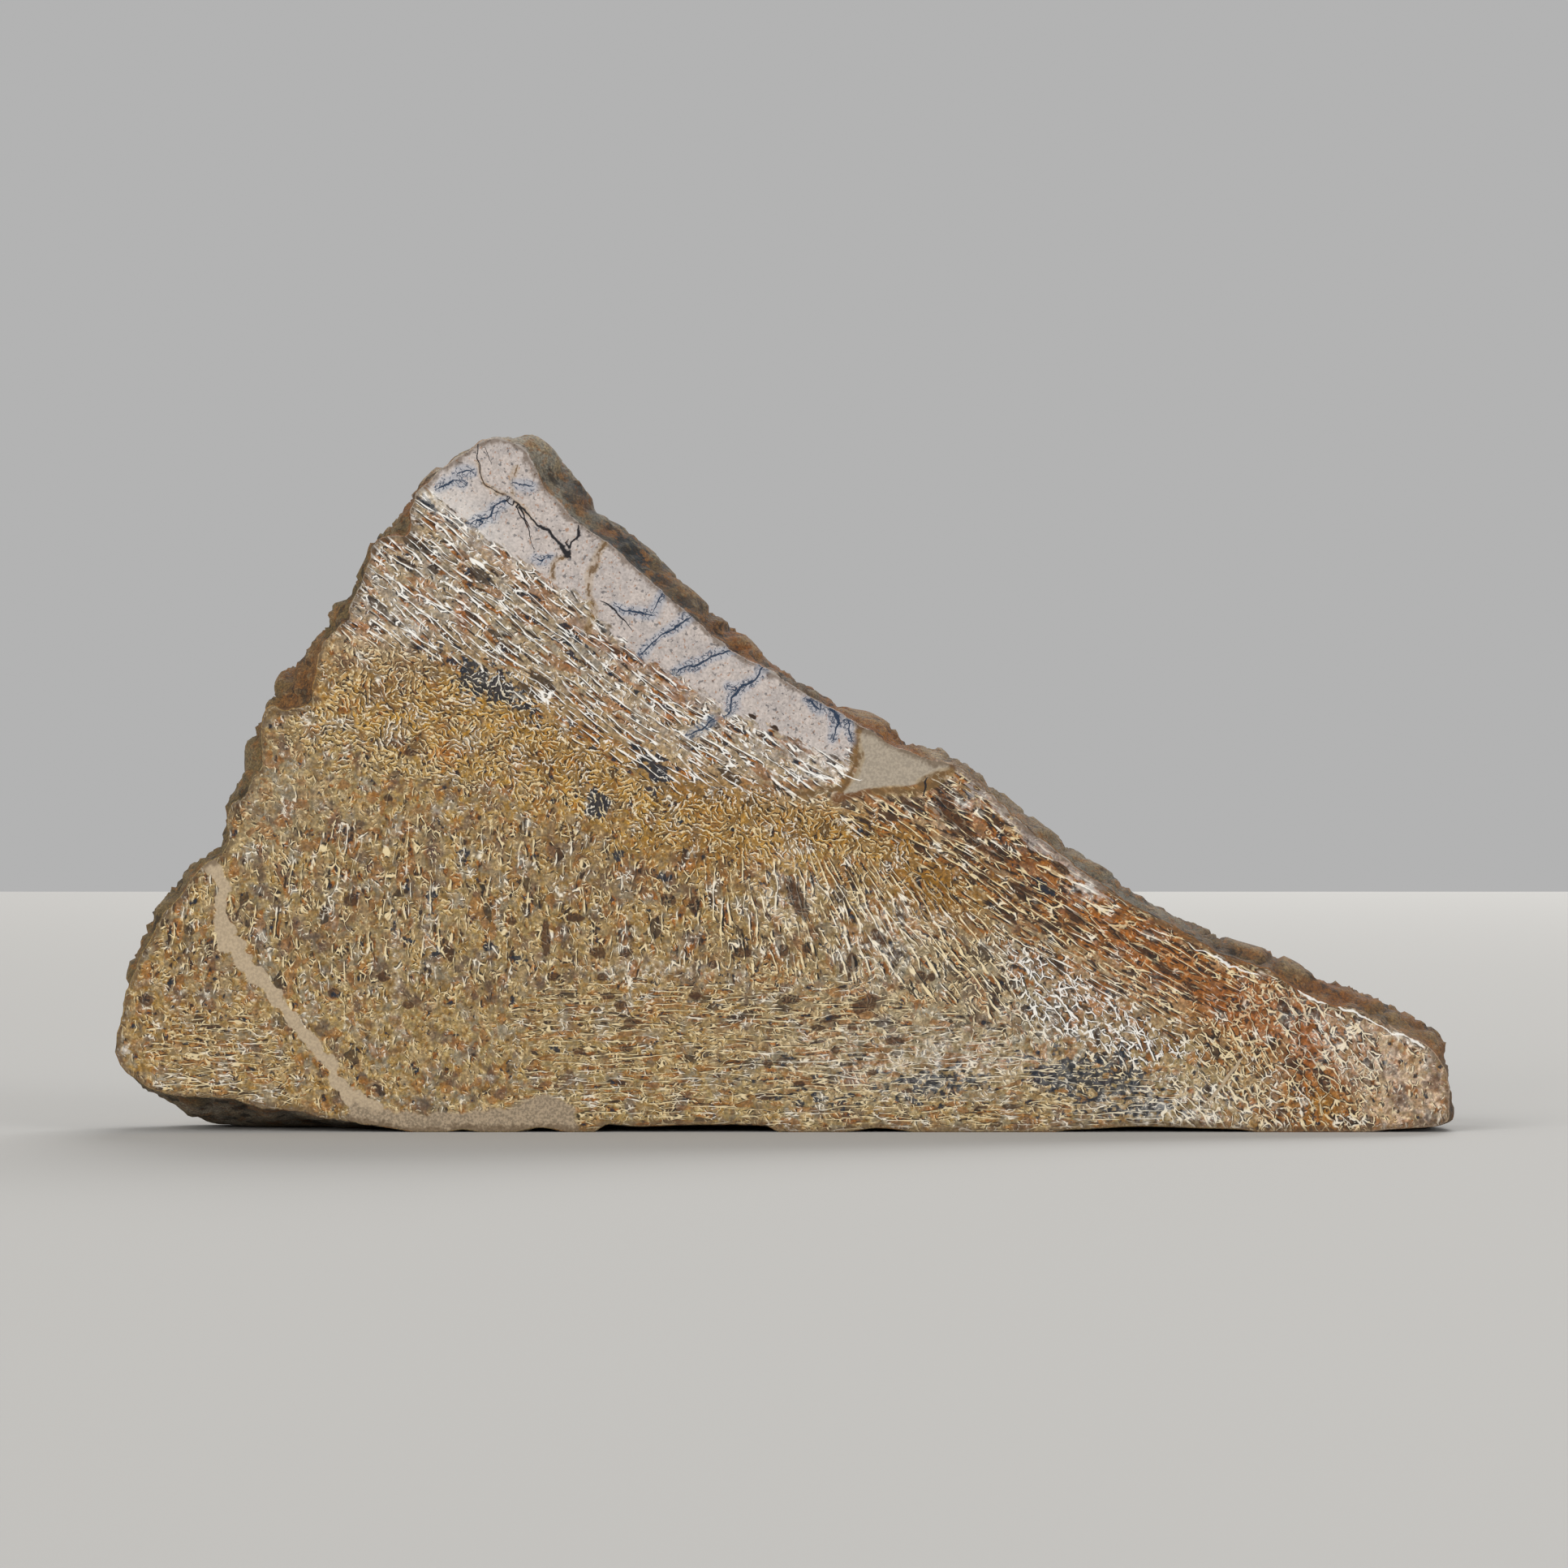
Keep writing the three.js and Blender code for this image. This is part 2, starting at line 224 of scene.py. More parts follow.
LINE_REACH = {"cracks": 0.8, "blue_veins": 1.2, "rust_veins": 0.9, "cream_veins": 0.8,
              "white_veins": 0.8}
WANDER = ((4.0, 0.7), (1.5, 0.4))    # of lines: the bends' size and reach
WANDER_SEED = 1795482809     # fixed, because the bends would otherwise differ at each run

# Soft spots, each (x, z, reach along, reach across, turn in degrees, strength). The turn is
# from +X towards +Z. It is 0 and the strength is 1 where they are left out.
SPOTS = {
    "rust": [(-39.5, 63.5, 2.2, .6, 95, .9), (-20.8, 59.5, .5, .4), (-26.5, 57.6, .5, .4),
        (-15.4, 57.8, .6, .4), (-14.1, 51.2, .7, .4, -40), (-48, 72.3, .9, .5, 0, .9),
        (-16.5, 14.9, .7, .5), (-41.5, 46.7, 2, .5, 0, .8), (-52, 62, 2.2, .7, -30, .5),
        (24, 38, 9, 1.2, -38, .7), (32, 31, 10, 1.4, -36, .8), (45, 22.5, 12, 2.6, -30),
        (55, 16, 9, 3, -28), (64.5, 10, 2.4, 9, 4), (66, 5, 3, 2.5, 0, .9), (61.5, 14, 4, 3, -20, .8),
        (-30, 66, 7, .7, -38, .6), (-22, 60, 6, .6, -38, .6), (-14, 55.5, 4, .6, -38, .5),
        (19, 30, 4, 2.5, -40, .3), (38, 17, 7, 2, -30, .4), (-29, 76, 1, .4, 0, .5),
        (13, 38.5, 5, 1, -45, .5), (-12, 33, 1.2, .7, 0, .6), (-14, 66, 1.4, .5, -40, .4)],
    "ochre": [(18, 30.5, 4.4, 3.2, -20), (14.4, 36, 3, 2, 0, .9), (-27, 46, 12, 4, -25, .5),
        (-8, 40.5, 10, 2.6, -10, .7), (6, 37.5, 8, 2.4, -10, .8), (66, 3.2, 3, 2, 0, .8),
        (-45, 53, 10, 3, -10, .45), (-10, 36, 12, 3, -5, .5), (-74, 14, 5, 2, 0, .3)],
    "soot": [(-36, 55, 4.8, 1.8, -30, .9), (-15.8, 45, 1.8, 2.2, 0, .8), (-23, 40.5, 1.5, 1, 90, 1.4),
        (-43.5, 29.3, .8, .5, 0, .8), (-39.2, 34.4, .7, .5, 0, .8), (-20.5, 34.1, .8, .6, 0, .8),
        (-15.1, 31.7, .9, .7, 0, .8), (-16.7, 27.2, .6, .5, 0, .8), (-32.3, 21.3, .7, .4, 0, .8),
        (-36.3, 22.9, .8, .4, 0, .8), (-42.7, 22.1, .7, .4, 0, .8), (-46.2, 23.7, .7, .4, 0, .8),
        (-28.5, 10.3, .8, .5, 0, .8), (-55.6, 17, .7, .5, 0, .7), (4, 3.9, 6, .8, 0, .6),
        (19, 6, 6, 1.6, 5, .75), (38, 6.6, 7, 2.4, 0, .9), (44, 3, 4, 1.5, 0, .7),
        (32, 30.3, 1.6, .7, -30, .8), (23, 41, 1.2, .5, -40, .8), (27, 36, 1, .5, -30, .5),
        (6, 45, 2, .6, -40, .5), (-44, 77.5, 3, .5, -42, .5), (-3, 26, 1.5, 1, 0, .2),
        (-26, 60.5, 3.4, 1.2, -38, .45), (0, 46.5, 5, 1, -35, .35), (-31, 64, 5, .8, -38, .4)],
    "pale": [(-47, 62.5, 3, 1.5, -35, .5), (4.5, 44.5, 3.5, 1.5, -35, .6), (-39, 75.5, 5, 2, -42, .4),
        (37, 30, 1.6, 1, -30, .9), (29, 20.5, 3, 2, -30, .25), (41, 15.5, 7, 4, -30, .15),
        (76.5, 11.6, 2.2, .6, -25), (-47.8, 20, .4, 5, 0, .6), (-44, 25, .4, 3, 0, .5),
        (0, 29, 3, 3, -60, .5), (12, 24, 4, 5, -60, .5), (-15, 20, 6, 1, 0, .4), (20, 9, 12, 3, 0, .5),
        (34, 12, 8, 3, -20, .3), (48, 3, 8, 3, 0, .5), (69, 11, 8, 3, -25, .4), (-81, 10, .8, .5),
        (-44, 78.5, 4, .8, -42, .9), (22, 40.5, 1.6, .6, -38, .8)],
    "violet": [(-45.5, 56, 4, 2, 20, .35), (-62, 40, 5, 3, 0, .35), (-50, 30, 5, 7, 0, .3),
        (-43.3, 34.5, .8, 4, 0, .8), (-28, 34, 8, 3, 0, .3), (-57, 24, 5, 3, 0, .35),
        (-70, 20, 4, 3, 0, .25), (-35, 18, 8, 3, 0, .25), (-20, 30, 5, 2, 0, .35),
        (-65, 50, 4, 3, 0, .3), (-5, 23, 8, 2, 0, .3), (28, 33, 8, 1, -38, .5)],
    "pores": [(-46, 46.8, .8, .5), (-78.6, 16.3, .9, .7), (-53.3, 28.6, 1, .8), (-49.4, 19.1, .8, .6),
        (-46.3, 15.7, .8, .5), (-55.5, 17.1, .8, .6), (-48.8, 41.2, .6, .5), (-29.3, 23.8, .5, 2.6),
        (-25.6, 26.4, 1.2, .5), (-14.3, 28.6, 1, .7), (-11, 28, .7, 1.2), (-28.2, 19.1, .9, .5),
        (-22.4, 19.1, .7, .5), (-22.9, 22.1, 1, .7), (-19.4, 22.1, .8, .5), (-20.2, 15.7, .7, .6),
        (-18.9, 13.5, .9, .6), (-25.3, 10, .8, .4), (-19.4, 10.3, .9, .4), (-5.1, 22.1, 1.3, .6),
        (-8.7, 20.7, .6, .5), (-.1, 22.4, .8, .8), (2.8, 22.7, .6, .7), (8.4, 21, .7, 1.2),
        (11.7, 24.1, .6, 1.4, 40), (16.8, 19.1, .7, .8), (18.2, 19.1, .5, .6), (.8, 16.3, 1.2, .6),
        (9.2, 15.4, .8, .9), (10.6, 16, .8, 1), (5.8, 14, 1.4, .4, 15), (8.4, 12.9, .6, .5),
        (4.2, 12.9, 1, .4), (13.7, 11.2, 1.3, .5), (6.3, 10.1, .6, .5), (-2, 8.4, .7, .5),
        (1.9, 5.9, .8, .4), (-11, 16.8, .8, .5), (10.9, 7.3, .7, .4), (1.6, 28.7, .9, 2.8, 26),
        (20.1, 39.6, 1, 2.4, 35), (26.5, 33.9, 1.4, .45, -30), (34.1, 32.6, 1.4, .45, -35),
        (22, 38, 2, .6, -50), (17.5, 42.6, .9, .5), (-21.6, 16.8, 1, .4), (-33.5, 26, .6, .5),
        (29.5, 29.8, 1.6, .45, -38), (36, 26.5, 1.8, .45, -35), (41, 24.4, 1.4, .4, -33),
        (46.6, 20.4, 1.6, .4, -30), (50, 18, 1.2, .4, -28), (24, 35.4, 1.6, .4, -42),
        (15, 40.6, 1.6, .4, -48), (-3.9, 51.2, .6, .3, -30), (-1.1, 49.8, .6, .3, -30)],
}

# The fillings' colours: where each tint is strongest, as soft spots.
TONES = {
    PINK_CREAM: [(-30, 74, 14, 5, -40), (-8, 57, 14, 5, -36), (4, 48, 6, 2, -36)],
    ASH: [(-42, 72, 12, 6, -40), (-20, 55, 14, 5, -38), (-2, 46, 8, 3, -36), (-52, 63, 6, 5)],
    GREY_BEIGE: [(-31, 63, 9, 4, -40), (-64, 41, 6, 5), (12, 14, 12, 6), (24, 18, 8, 5, -30),
        (38, 17, 8, 3, -30)],
    GOLDEN: [(-48, 53, 12, 5, -15), (-28, 45, 12, 6, -25), (-8, 38.5, 12, 4, -12), (6, 36, 8, 3, -10)],
    OCHRE: [(17, 31, 6, 4, -30)],
    BEIGE: [(-60, 42, 12, 8), (-62, 25, 14, 10), (-36, 25, 14, 10), (4, 24, 10, 8), (-16, 6, 18, 6),
        (34, 6, 16, 5), (50, 8, 5, 6)],
    TAN: [(-74, 18, 8, 8), (-70, 8, 12, 5), (-38, 35, 12, 6), (-14, 22, 14, 8)],
    RUSSET: [(26, 34, 8, 3, -38)],
    FOX: [(42, 24, 10, 3, -32), (64, 9, 5, 7)],
    RUST: [(55, 16, 8, 3, -28)],
    ROSY: [(78, 7, 6, 6), (18, 38, 4, 3, -40)],
}

# The rough side's colours, the same way.
RIND_TONES = {
    # The RIND_PALE spot at (-66, 1.6), on the ledge below the face's lower left, is painted light: it
    # brightens the downward-facing ledge that the lamps leave in shade.
    RIND_PALE: [(-34, 84, 5, 3, -40), (19.6, 46.2, 1.2, 1.2), (-66, 1.6, 13, 1.8, -4)],
    RIND_GREY: [(-29.5, 80.5, 4, 2, -50), (1.2, 54.5, 3, 2, -42), (42, 29, 7, 3, -35)],
    # The RIND_BLACK spot at (-62, 3.6) is a painted shadow in the crease between the face and that
    # ledge.
    RIND_BLACK: [(-25.7, 77.2, 1.2, 1.2), (-18, 69.8, 5, 2, -48), (-62, 3.6, 7, .6, -8)],
    RIND_FOX: [(-24.4, 75.8, 1.6, 1, -60), (-5.3, 60.2, 4, 2, -42), (11, 49.8, 7, 3, -25),
        (68, 17, 6, 3, -25), (79.6, 10.2, 2, 2), (-60.3, 55.5, 4, 3, 60), (-47.4, 75.3, 3, 2, 40)],
    RIND_BROWN: [(-11, 64.2, 3, 2, -40), (56, 21, 7, 3, -20), (82, 4, 3, 5), (10, .5, 60, 2)],
    RIND_TAN: [(30, 39, 9, 3, -40)],
    RIND_OLIVE: [(75.4, 13.5, 3, 2, -30), (-66, 44, 10, 6, 60), (-80, 22, 8, 4, 70), (-76, 6, 6, 4, -30),
        (-54, 66, 5, 3, 50)],
}

FIELD_NAMES = [
    "rim", "relief", "below_slope", "along_slope", "across_fan", "along_fan", *REGIONS, *SPOTS,
    *LINES, *(name + "_near" for name in LINES),
]

# ---------------------------------------------------------------- the CAD solid as rings

def cad_rings(node):
    """Points of the CAD solid's side, as [ring, place on the ring, xyz], front to back."""
    mesh = node.data
    corners = np.zeros(len(mesh.vertices) * 3)
    mesh.vertices.foreach_get("co", corners)
    points, merged = np.unique(
        np.round(corners.reshape(-1, 3) / MM, 3), axis=0, return_inverse=True)
    mesh.calc_loop_triangles()
    triangles = np.zeros(len(mesh.loop_triangles) * 3, int)
    mesh.loop_triangles.foreach_get("vertices", triangles)
    triangles = merged.ravel()[triangles].reshape(-1, 3)
    depths = points[:, 1]
    beside = {}
    for triangle in triangles[np.ptp(depths[triangles], axis=1) > 0]:
        for a, b in zip(triangle, np.roll(triangle, 1)):
            if depths[a] == depths[b]:
                beside.setdefault(a, set()).add(b)
                beside.setdefault(b, set()).add(a)
    return np.stack([ring_at(depth, points, beside) for depth in np.unique(depths)])


def ring_at(depth, points, beside):
    """The points at one depth in their order round the stone, clockwise seen from the front."""
    here = [index for index in beside if points[index, 1] == depth]
    start = min(here, key=lambda index: math.dist(points[index, [0, 2]], LEVEL_START))
    order = [start]
    onward = min(beside[start], key=lambda index: points[index, 0])
    while onward != start:
        order.append(onward)
        onward = next(index for index in beside[onward] if index != order[-2])
    return points[order]


def doubled(rings):
    """Closed rings with a smooth midpoint between each two points."""
    before, after, later = (np.roll(rings, -step, axis=1) for step in (-1, 1, 2))
    middle = (9 * (rings + after) - before - later) / 16
    return np.stack([rings, middle], axis=2).reshape(len(rings), -1, 3)


def rows_at(rings, depths):
    """The rings worked out again at other depths, on smooth curves from front to back."""
    knots = rings[:, 0, 1]
    slopes = np.gradient(rings, knots, axis=0)
    rows = []
    for depth in depths:
        below = int(np.clip(np.searchsorted(knots, depth) - 1, 0, len(knots) - 2))
        span = knots[below + 1] - knots[below]
        t = (depth - knots[below]) / span
        rows.append(
            (2 * t**3 - 3 * t**2 + 1) * rings[below] + (t**3 - 2 * t**2 + t) * span * slopes[below]
            + (3 * t**2 - 2 * t**3) * rings[below + 1] + (t**3 - t**2) * span * slopes[below + 1])
    return np.stack(rows)


def outward(rings):
    """Unit vectors out of the stone at each ring point, in the plane of the face."""
    along = np.roll(rings, -1, axis=1) - np.roll(rings, 1, axis=1)
    across = np.stack([-along[..., 2], np.zeros(along.shape[:2]), along[..., 0]], axis=-1)
    return across / np.linalg.norm(across, axis=-1, keepdims=True)


def smooth_step(values, low, high):
    t = np.clip((values - low) / (high - low), 0, 1)
    return t * t * (3 - 2 * t)


def broken_relief(points, size, height):
    """Height of sharp-edged broken stone at each point."""
    heights = np.array([noise.hetero_terrain(Vector(point) / size, *BREAKS,
                                             noise_basis="VORONOI_F2F1") for point in points])
    return height * (heights - heights.mean()) / max(heights.std(), 1e-6) / 2


def crumbling(points):
    """The share of the relief that each point has."""
    waves = np.array([noise.noise(Vector(point) / CRUMBLY["size"]) for point in points])
    return CRUMBLY["least"] + (1 - CRUMBLY["least"]) * smooth_step(waves, -0.25, 0.3)


def side_rows(rings):
    """The rough side as rows of points from the polished edge to the back edge, and the
    height of its relief at each."""
    spread = np.linspace(0, 1, SIDE_ROWS) ** ROW_CROWDING
    depths = FRONT + EASED_EDGE + (BACK - FRONT - EASED_EDGE) * spread
    rows = rows_at(doubled(doubled(rings)), depths)
    points = rows.reshape(-1, 3)
    relief = sum(broken_relief(points * RELIEF_STRETCH, **layer) for layer in RELIEF)
    relief = (relief * crumbling(points)).reshape(rows.shape[:2])
    depth = rows[..., 1] - FRONT
    held = RAGGED_EDGE + (1 - RAGGED_EDGE) * smooth_step(depth, 0, 3)
    relief *= held * smooth_step(rows[..., 2], *BASE_CLEAR)
    relief = np.minimum(relief, MOST_RELIEF)
    rows = rows + outward(rows) * relief[..., None]
    rows[..., 0] = np.clip(rows[..., 0], LOW[0], HIGH[0])
    rows[..., 2] = np.clip(rows[..., 2], LOW[2], HIGH[2])
    return rows, relief


# ---------------------------------------------------------------- the fine mesh

def inside(points, outline):
    """Which points lie inside a closed outline."""
    found = np.zeros(len(points), bool)
    for (x1, z1), (x2, z2) in zip(outline, np.roll(outline, -1, axis=0)):
        if z1 != z2:
            crosses = (z1 > points[:, 1]) != (z2 > points[:, 1])
            found ^= crosses & (points[:, 0] < x1 + (points[:, 1] - z1) * (x2 - x1) / (z2 - z1))
    return found


def filled(outline, spacing):
    """Points inside an outline on a triangular grid, and the triangles that join them to it."""
    low, high = outline.min(axis=0), outline.max(axis=0)
    x, z = np.meshgrid(np.arange(low[0], high[0], spacing),
                       np.arange(low[1], high[1], spacing * math.sqrt(0.75)))
    x[1::2] += spacing / 2
    grid = np.stack([x.ravel(), z.ravel()], axis=1)
    grid = grid[inside(grid, outline)]
    edge = kdtree.KDTree(len(outline))
    for index, (x, z) in enumerate(outline):
        edge.insert((x, z, 0), index)
    edge.balance()
    clear = np.array([edge.find((x, z, 0))[2] for x, z in grid]) > spacing * 0.6
    points = np.vstack([outline, grid[clear]])
    count = len(outline)
    border = [(index, (index + 1) % count) for index in range(count)]
    triangles = geometry.delaunay_2d_cdt([Vector(p) for p in points], border, [], 1, 1e-7)[2]
    return points[count:], np.array(triangles)


def at_depth(points, depth):
    return np.insert(points, 1, depth, axis=1)


def stone_mesh(rings):
    """The whole stone as one closed mesh: polished face, eased rim, rough side, sawn back.
    Gives the mesh, its points in mm, and the height of the relief at each."""
    rows, relief = side_rows(rings)
    count = rows.shape[1]
    rim = rows[0] - EASED_EDGE * outward(rows[:1])[0]
    rim[:, 1] = FRONT
    face_points, face = filled(rim[:, [0, 2]], FACE_SPACING)
    back_points, back = filled(rows[-1][:, [0, 2]], BACK_SPACING)
    points = np.vstack([rim, at_depth(face_points, FRONT), rows.reshape(-1, 3),
                        at_depth(back_points, BACK)])
    first_row = count + len(face_points)
    last_row = first_row + (SIDE_ROWS - 1) * count
    back = back + last_row
    starts = [0] + [first_row + row * count for row in range(SIDE_ROWS)]
    side = np.vstack([band(front, behind, count) for front, behind in zip(starts, starts[1:])])
    mesh = bpy.data.meshes.new("fossil_stone")
    mesh.from_pydata(points * MM, [], [*face.tolist(), *side.tolist(), *back[:, ::-1].tolist()])
    kinds = np.repeat([0, 1, 2], [len(face), len(side), len(back)])
    mesh.polygons.foreach_set("material_index", kinds.astype(np.int32))
    mesh.polygons.foreach_set("use_smooth", np.ones(len(kinds), bool))
    mark_sharp(mesh, [(0, count), (first_row, count), (last_row, count)])
    lay_out(mesh, points, kinds, rows)
    heights = np.zeros(len(points))
    heights[first_row:first_row + relief.size] = relief.ravel()
    return mesh, points, heights


def band(front, behind, count):
    """Quads between one ring and the next behind it, by the numbers of their first points."""
    here = np.arange(count)
    after = (here + 1) % count
    return np.stack([front + here, front + after, behind + after, behind + here], axis=1)


def mark_sharp(mesh, rings):
    """Keeps the edges of the given rings sharp under smooth shading."""
    ends = np.zeros(len(mesh.edges) * 2, int)
    mesh.edges.foreach_get("vertices", ends)
    ends = ends.reshape(-1, 2)
    sharp = np.zeros(len(ends), bool)
    for first, count in rings:
        sharp |= ((ends >= first) & (ends < first + count)).all(axis=1)
    mesh.edges.foreach_set("use_edge_sharp", sharp)


def lay_out(mesh, points, kinds, rows):
    """A flat layout of the surface: the face across the whole width, the side in two strips."""
    margin, width = LAYOUT_MARGIN, 1 - 2 * LAYOUT_MARGIN
    scale = width / (HIGH[0] - LOW[0])
    corner = np.zeros(len(mesh.loops), int)
    mesh.loops.foreach_get("vertex_index", corner)
    kind = np.repeat(kinds, np.where(kinds == 1, 4, 3))
    flat = (points[corner][:, [0, 2]] - [LOW[0], 0]) * scale + margin
    back_top = margin + HIGH[2] * scale + margin
    spread = flat.copy()
    spread[kind == 2] = (flat[kind == 2] - margin) * 0.5 + [margin, back_top]
    strip_foot = back_top + HIGH[2] * scale * 0.5 + margin
    spread[kind == 1] = strip_places(rows, width, margin, strip_foot)
    layer = mesh.uv_layers.new(name="OFBake")
    layer.uv.foreach_set("vector", spread.astype(np.float32).ravel())


def strip_places(rows, width, margin, foot):
    """Where the corners of the side's quads lie, the ring cut into two strips, one over another."""
    count = rows.shape[1]
    steps = np.linalg.norm(np.roll(rows[0], -1, axis=0) - rows[0], axis=1)
    along = np.concatenate([[0], np.cumsum(steps)])
    half = count // 2
    scale = width / max(along[half], along[-1] - along[half])
    down = np.linalg.norm(np.diff(rows, axis=0), axis=2).mean(axis=1)
    down = np.concatenate([[0, EASED_EDGE], EASED_EDGE + np.cumsum(down)]) * scale
    here = np.tile(np.arange(count), SIDE_ROWS)
    row = np.repeat(np.arange(SIDE_ROWS), count)
    second = here >= half
    left = margin + (along[here] - np.where(second, along[half], 0)) * scale
    right = margin + (along[here + 1] - np.where(second, along[half], 0)) * scale
    base = foot + np.where(second, down[-1] + margin, 0)
    top, low = base + down[row], base + down[row + 1]
    corners = [(left, top), (right, top), (right, low), (left, low)]
    return np.stack([np.stack(pair, axis=1) for pair in corners], axis=1).reshape(-1, 2)


# ---------------------------------------------------------------- fields over the face

LEAST_HALF_WIDTH = 0.04      # of a line
SPOT_ENDS = (0, 1)           # a spot's turn and strength where they are left out
SPOT_FADE = 1.6              # the larger it is, the more gently spots fade out
LEAST_WEIGHT = 1e-6          # of beige, where no tint reaches


def nearest_on(line, places):
    """Signed distance from each place to a line, with how far along it the nearest point is,
    and the line's width there where it has one. Places on the left are positive."""
    line = np.array(line, float)
    best = np.full(len(places), np.inf)
    sign, along, width = np.ones(len(places)), np.zeros(len(places)), np.zeros(len(places))
    run = 0.0
    for start, end in zip(line, line[1:]):
        step = end[:2] - start[:2]
        length = float(np.hypot(*step))
        offset = places - start[:2]
        share = np.clip(offset @ step / length**2, 0, 1)
        gap = np.hypot(*(offset - share[:, None] * step).T)
        nearer = gap < best
        best[nearer] = gap[nearer]
        side = step[0] * offset[:, 1] - step[1] * offset[:, 0]
        sign[nearer] = np.where(side < 0, -1, 1)[nearer]
        along[nearer] = (run + share * length)[nearer]
        if line.shape[1] > 2:
            width[nearer] = (start[2] + share * (end[2] - start[2]))[nearer]
        run += length
    return sign * best, along, width


def line_fields(lines, places, reach):
    """Distance to the nearest of several lines in half widths, and how near it is, 1 on it
    and 0 at reach."""
    across, near = np.full(len(places), 99.0), np.zeros(len(places))
    for line in lines:
        distance, _, width = nearest_on(line, places)
        ratio = distance / np.maximum(width / 2, LEAST_HALF_WIDTH)
        across = np.where(np.abs(ratio) < np.abs(across), ratio, across)
        near = np.maximum(near, 1 - smooth_step(np.abs(distance), width / 2, width / 2 + reach))
    return across, near


def wandered(places):
    """The places moved a little by noise, so that lines measured from them run unevenly."""
    noise.seed_set(WANDER_SEED)
    moved = [sum((reach * noise.noise_vector(Vector((*place, 0)) / size).xy
                  for size, reach in WANDER), Vector((0, 0))) for place in places]
    return places + np.array(moved)


def region_field(outline, places):
    """Distance to a region's outline, positive inside it."""
    closed = [*outline, outline[0]]
    distance = np.abs(nearest_on(closed, places)[0])
    return np.where(inside(places, np.array(outline, float)), distance, -distance)


def spot_field(spots, places):
    """The strongest of several soft spots at each place, 0 to 1."""
    field = np.zeros(len(places))
    for spot in spots:
        x, z, along, across, turn, strength = (*spot, *SPOT_ENDS[len(spot) - 4:])
        offset = places - [x, z]
        cos, sin = math.cos(math.radians(turn)), math.sin(math.radians(turn))
        u = (offset[:, 0] * cos + offset[:, 1] * sin) / along
        v = (offset[:, 1] * cos - offset[:, 0] * sin) / across
        field = np.maximum(field, strength * np.exp(-(u * u + v * v) / SPOT_FADE))
    return field


def evened(line, step=2.0, reach=9.0):
    """A smooth curve along a line's points, as points one step apart. Its ends, which the
    evening pulls in, are left off."""
    line = np.array(line, float)
    run = np.concatenate([[0], np.cumsum(np.hypot(*np.diff(line, axis=0).T))])
    stops = np.arange(0, run[-1], step)
    even = np.stack([np.interp(stops, run, line[:, axis]) for axis in (0, 1)], axis=1)
    weight = np.exp(-((stops[:, None] - stops) / reach) ** 2)
    return (weight @ even / weight.sum(axis=1, keepdims=True))[3:-3]


def fan_places(places):
    """Places in the fan's own directions: across its walls at FAN_LEVEL, and up along them."""
    x, rise = places[:, 0], places[:, 1] - FAN_LEVEL
    crossing = x.copy()
    for _ in range(12):
        lean = np.radians(np.interp(crossing, FAN_LEAN["x"], FAN_LEAN["degrees"]))
        crossing = (crossing + x + rise * np.tan(lean)) / 2
    return crossing, rise / np.cos(lean)


def tone_field(tones, places):
    """A colour at each place: named tints, weighed by how near each is."""
    total = np.full((len(places), 1), LEAST_WEIGHT)
    colour = total * BEIGE[:3]
    for tone, spots in tones.items():
        weight = sum(spot_field([spot], places) for spot in spots)[:, None]
        total += weight
        colour += weight * tone[:3]
    return colour / total


def stone_fields(places, face, heights):
    """Every field that the materials read, by name. face is the polished face's outline, and
    heights are the rough side's relief."""
    below_slope, along_slope, _ = nearest_on(evened(SLOPE_LINE), places)
    across_fan, along_fan = fan_places(places)
    fields = {"rim": region_field([*face], places), "relief": heights,
              "below_slope": -below_slope, "along_slope": along_slope,
              "across_fan": across_fan, "along_fan": along_fan}
    fields |= {name: region_field(outline, places) for name, outline in REGIONS.items()}
    fields |= {name: spot_field(spots, places) for name, spots in SPOTS.items()}
    astray = wandered(places)
    for name, lines in LINES.items():
        fields[name], fields[name + "_near"] = line_fields(lines, astray, LINE_REACH[name])
    return fields


def drift(point):
    """How far the rough side's colours stray from their places at a point, in x and z. They
    stray farther with depth behind the polished face."""
    spot = Vector(point) / DRIFT["size"]
    reach = DRIFT["reach"] + DRIFT["growth"] * (point[1] - FRONT)
    return [reach * noise.noise(spot + Vector(shift)) for shift in DRIFT["shifts"]]


def write_fields(mesh, points, face, heights):
    """Stores the fields on the mesh, three to an attribute, and the tone as a colour."""
    places = points[:, [0, 2]]
    fields = stone_fields(places, face, heights)
    assert sorted(fields) == sorted(FIELD_NAMES)
    for first in range(0, len(FIELD_NAMES), 3):
        names = FIELD_NAMES[first:first + 3]
        values = np.zeros((len(points), 3), np.float32)
        values[:, :len(names)] = np.stack([fields[name] for name in names], axis=1)
        layer = mesh.attributes.new(f"fields_{first // 3}", "FLOAT_VECTOR", "POINT")
        layer.data.foreach_set("vector", values.ravel())
    layer = mesh.attributes.new("tone", "FLOAT_COLOR", "POINT")
    on_side = (points[:, 1] > FRONT) & (points[:, 1] < BACK)
    drifted = places + [drift(point) for point in points]
    tone = np.where(on_side[:, None], tone_field(RIND_TONES, drifted), tone_field(TONES, places))
    tone = np.hstack([tone, np.ones((len(points), 1))])
    layer.data.foreach_set("color", tone.astype(np.float32).ravel())


# ---------------------------------------------------------------- nodes

# The Mix node's sockets for each kind of value: the two inputs and the output.
MIX_SOCKETS = {"RGBA": (6, 7, 2), "VECTOR": (4, 5, 1), "FLOAT": (2, 3, 0)}


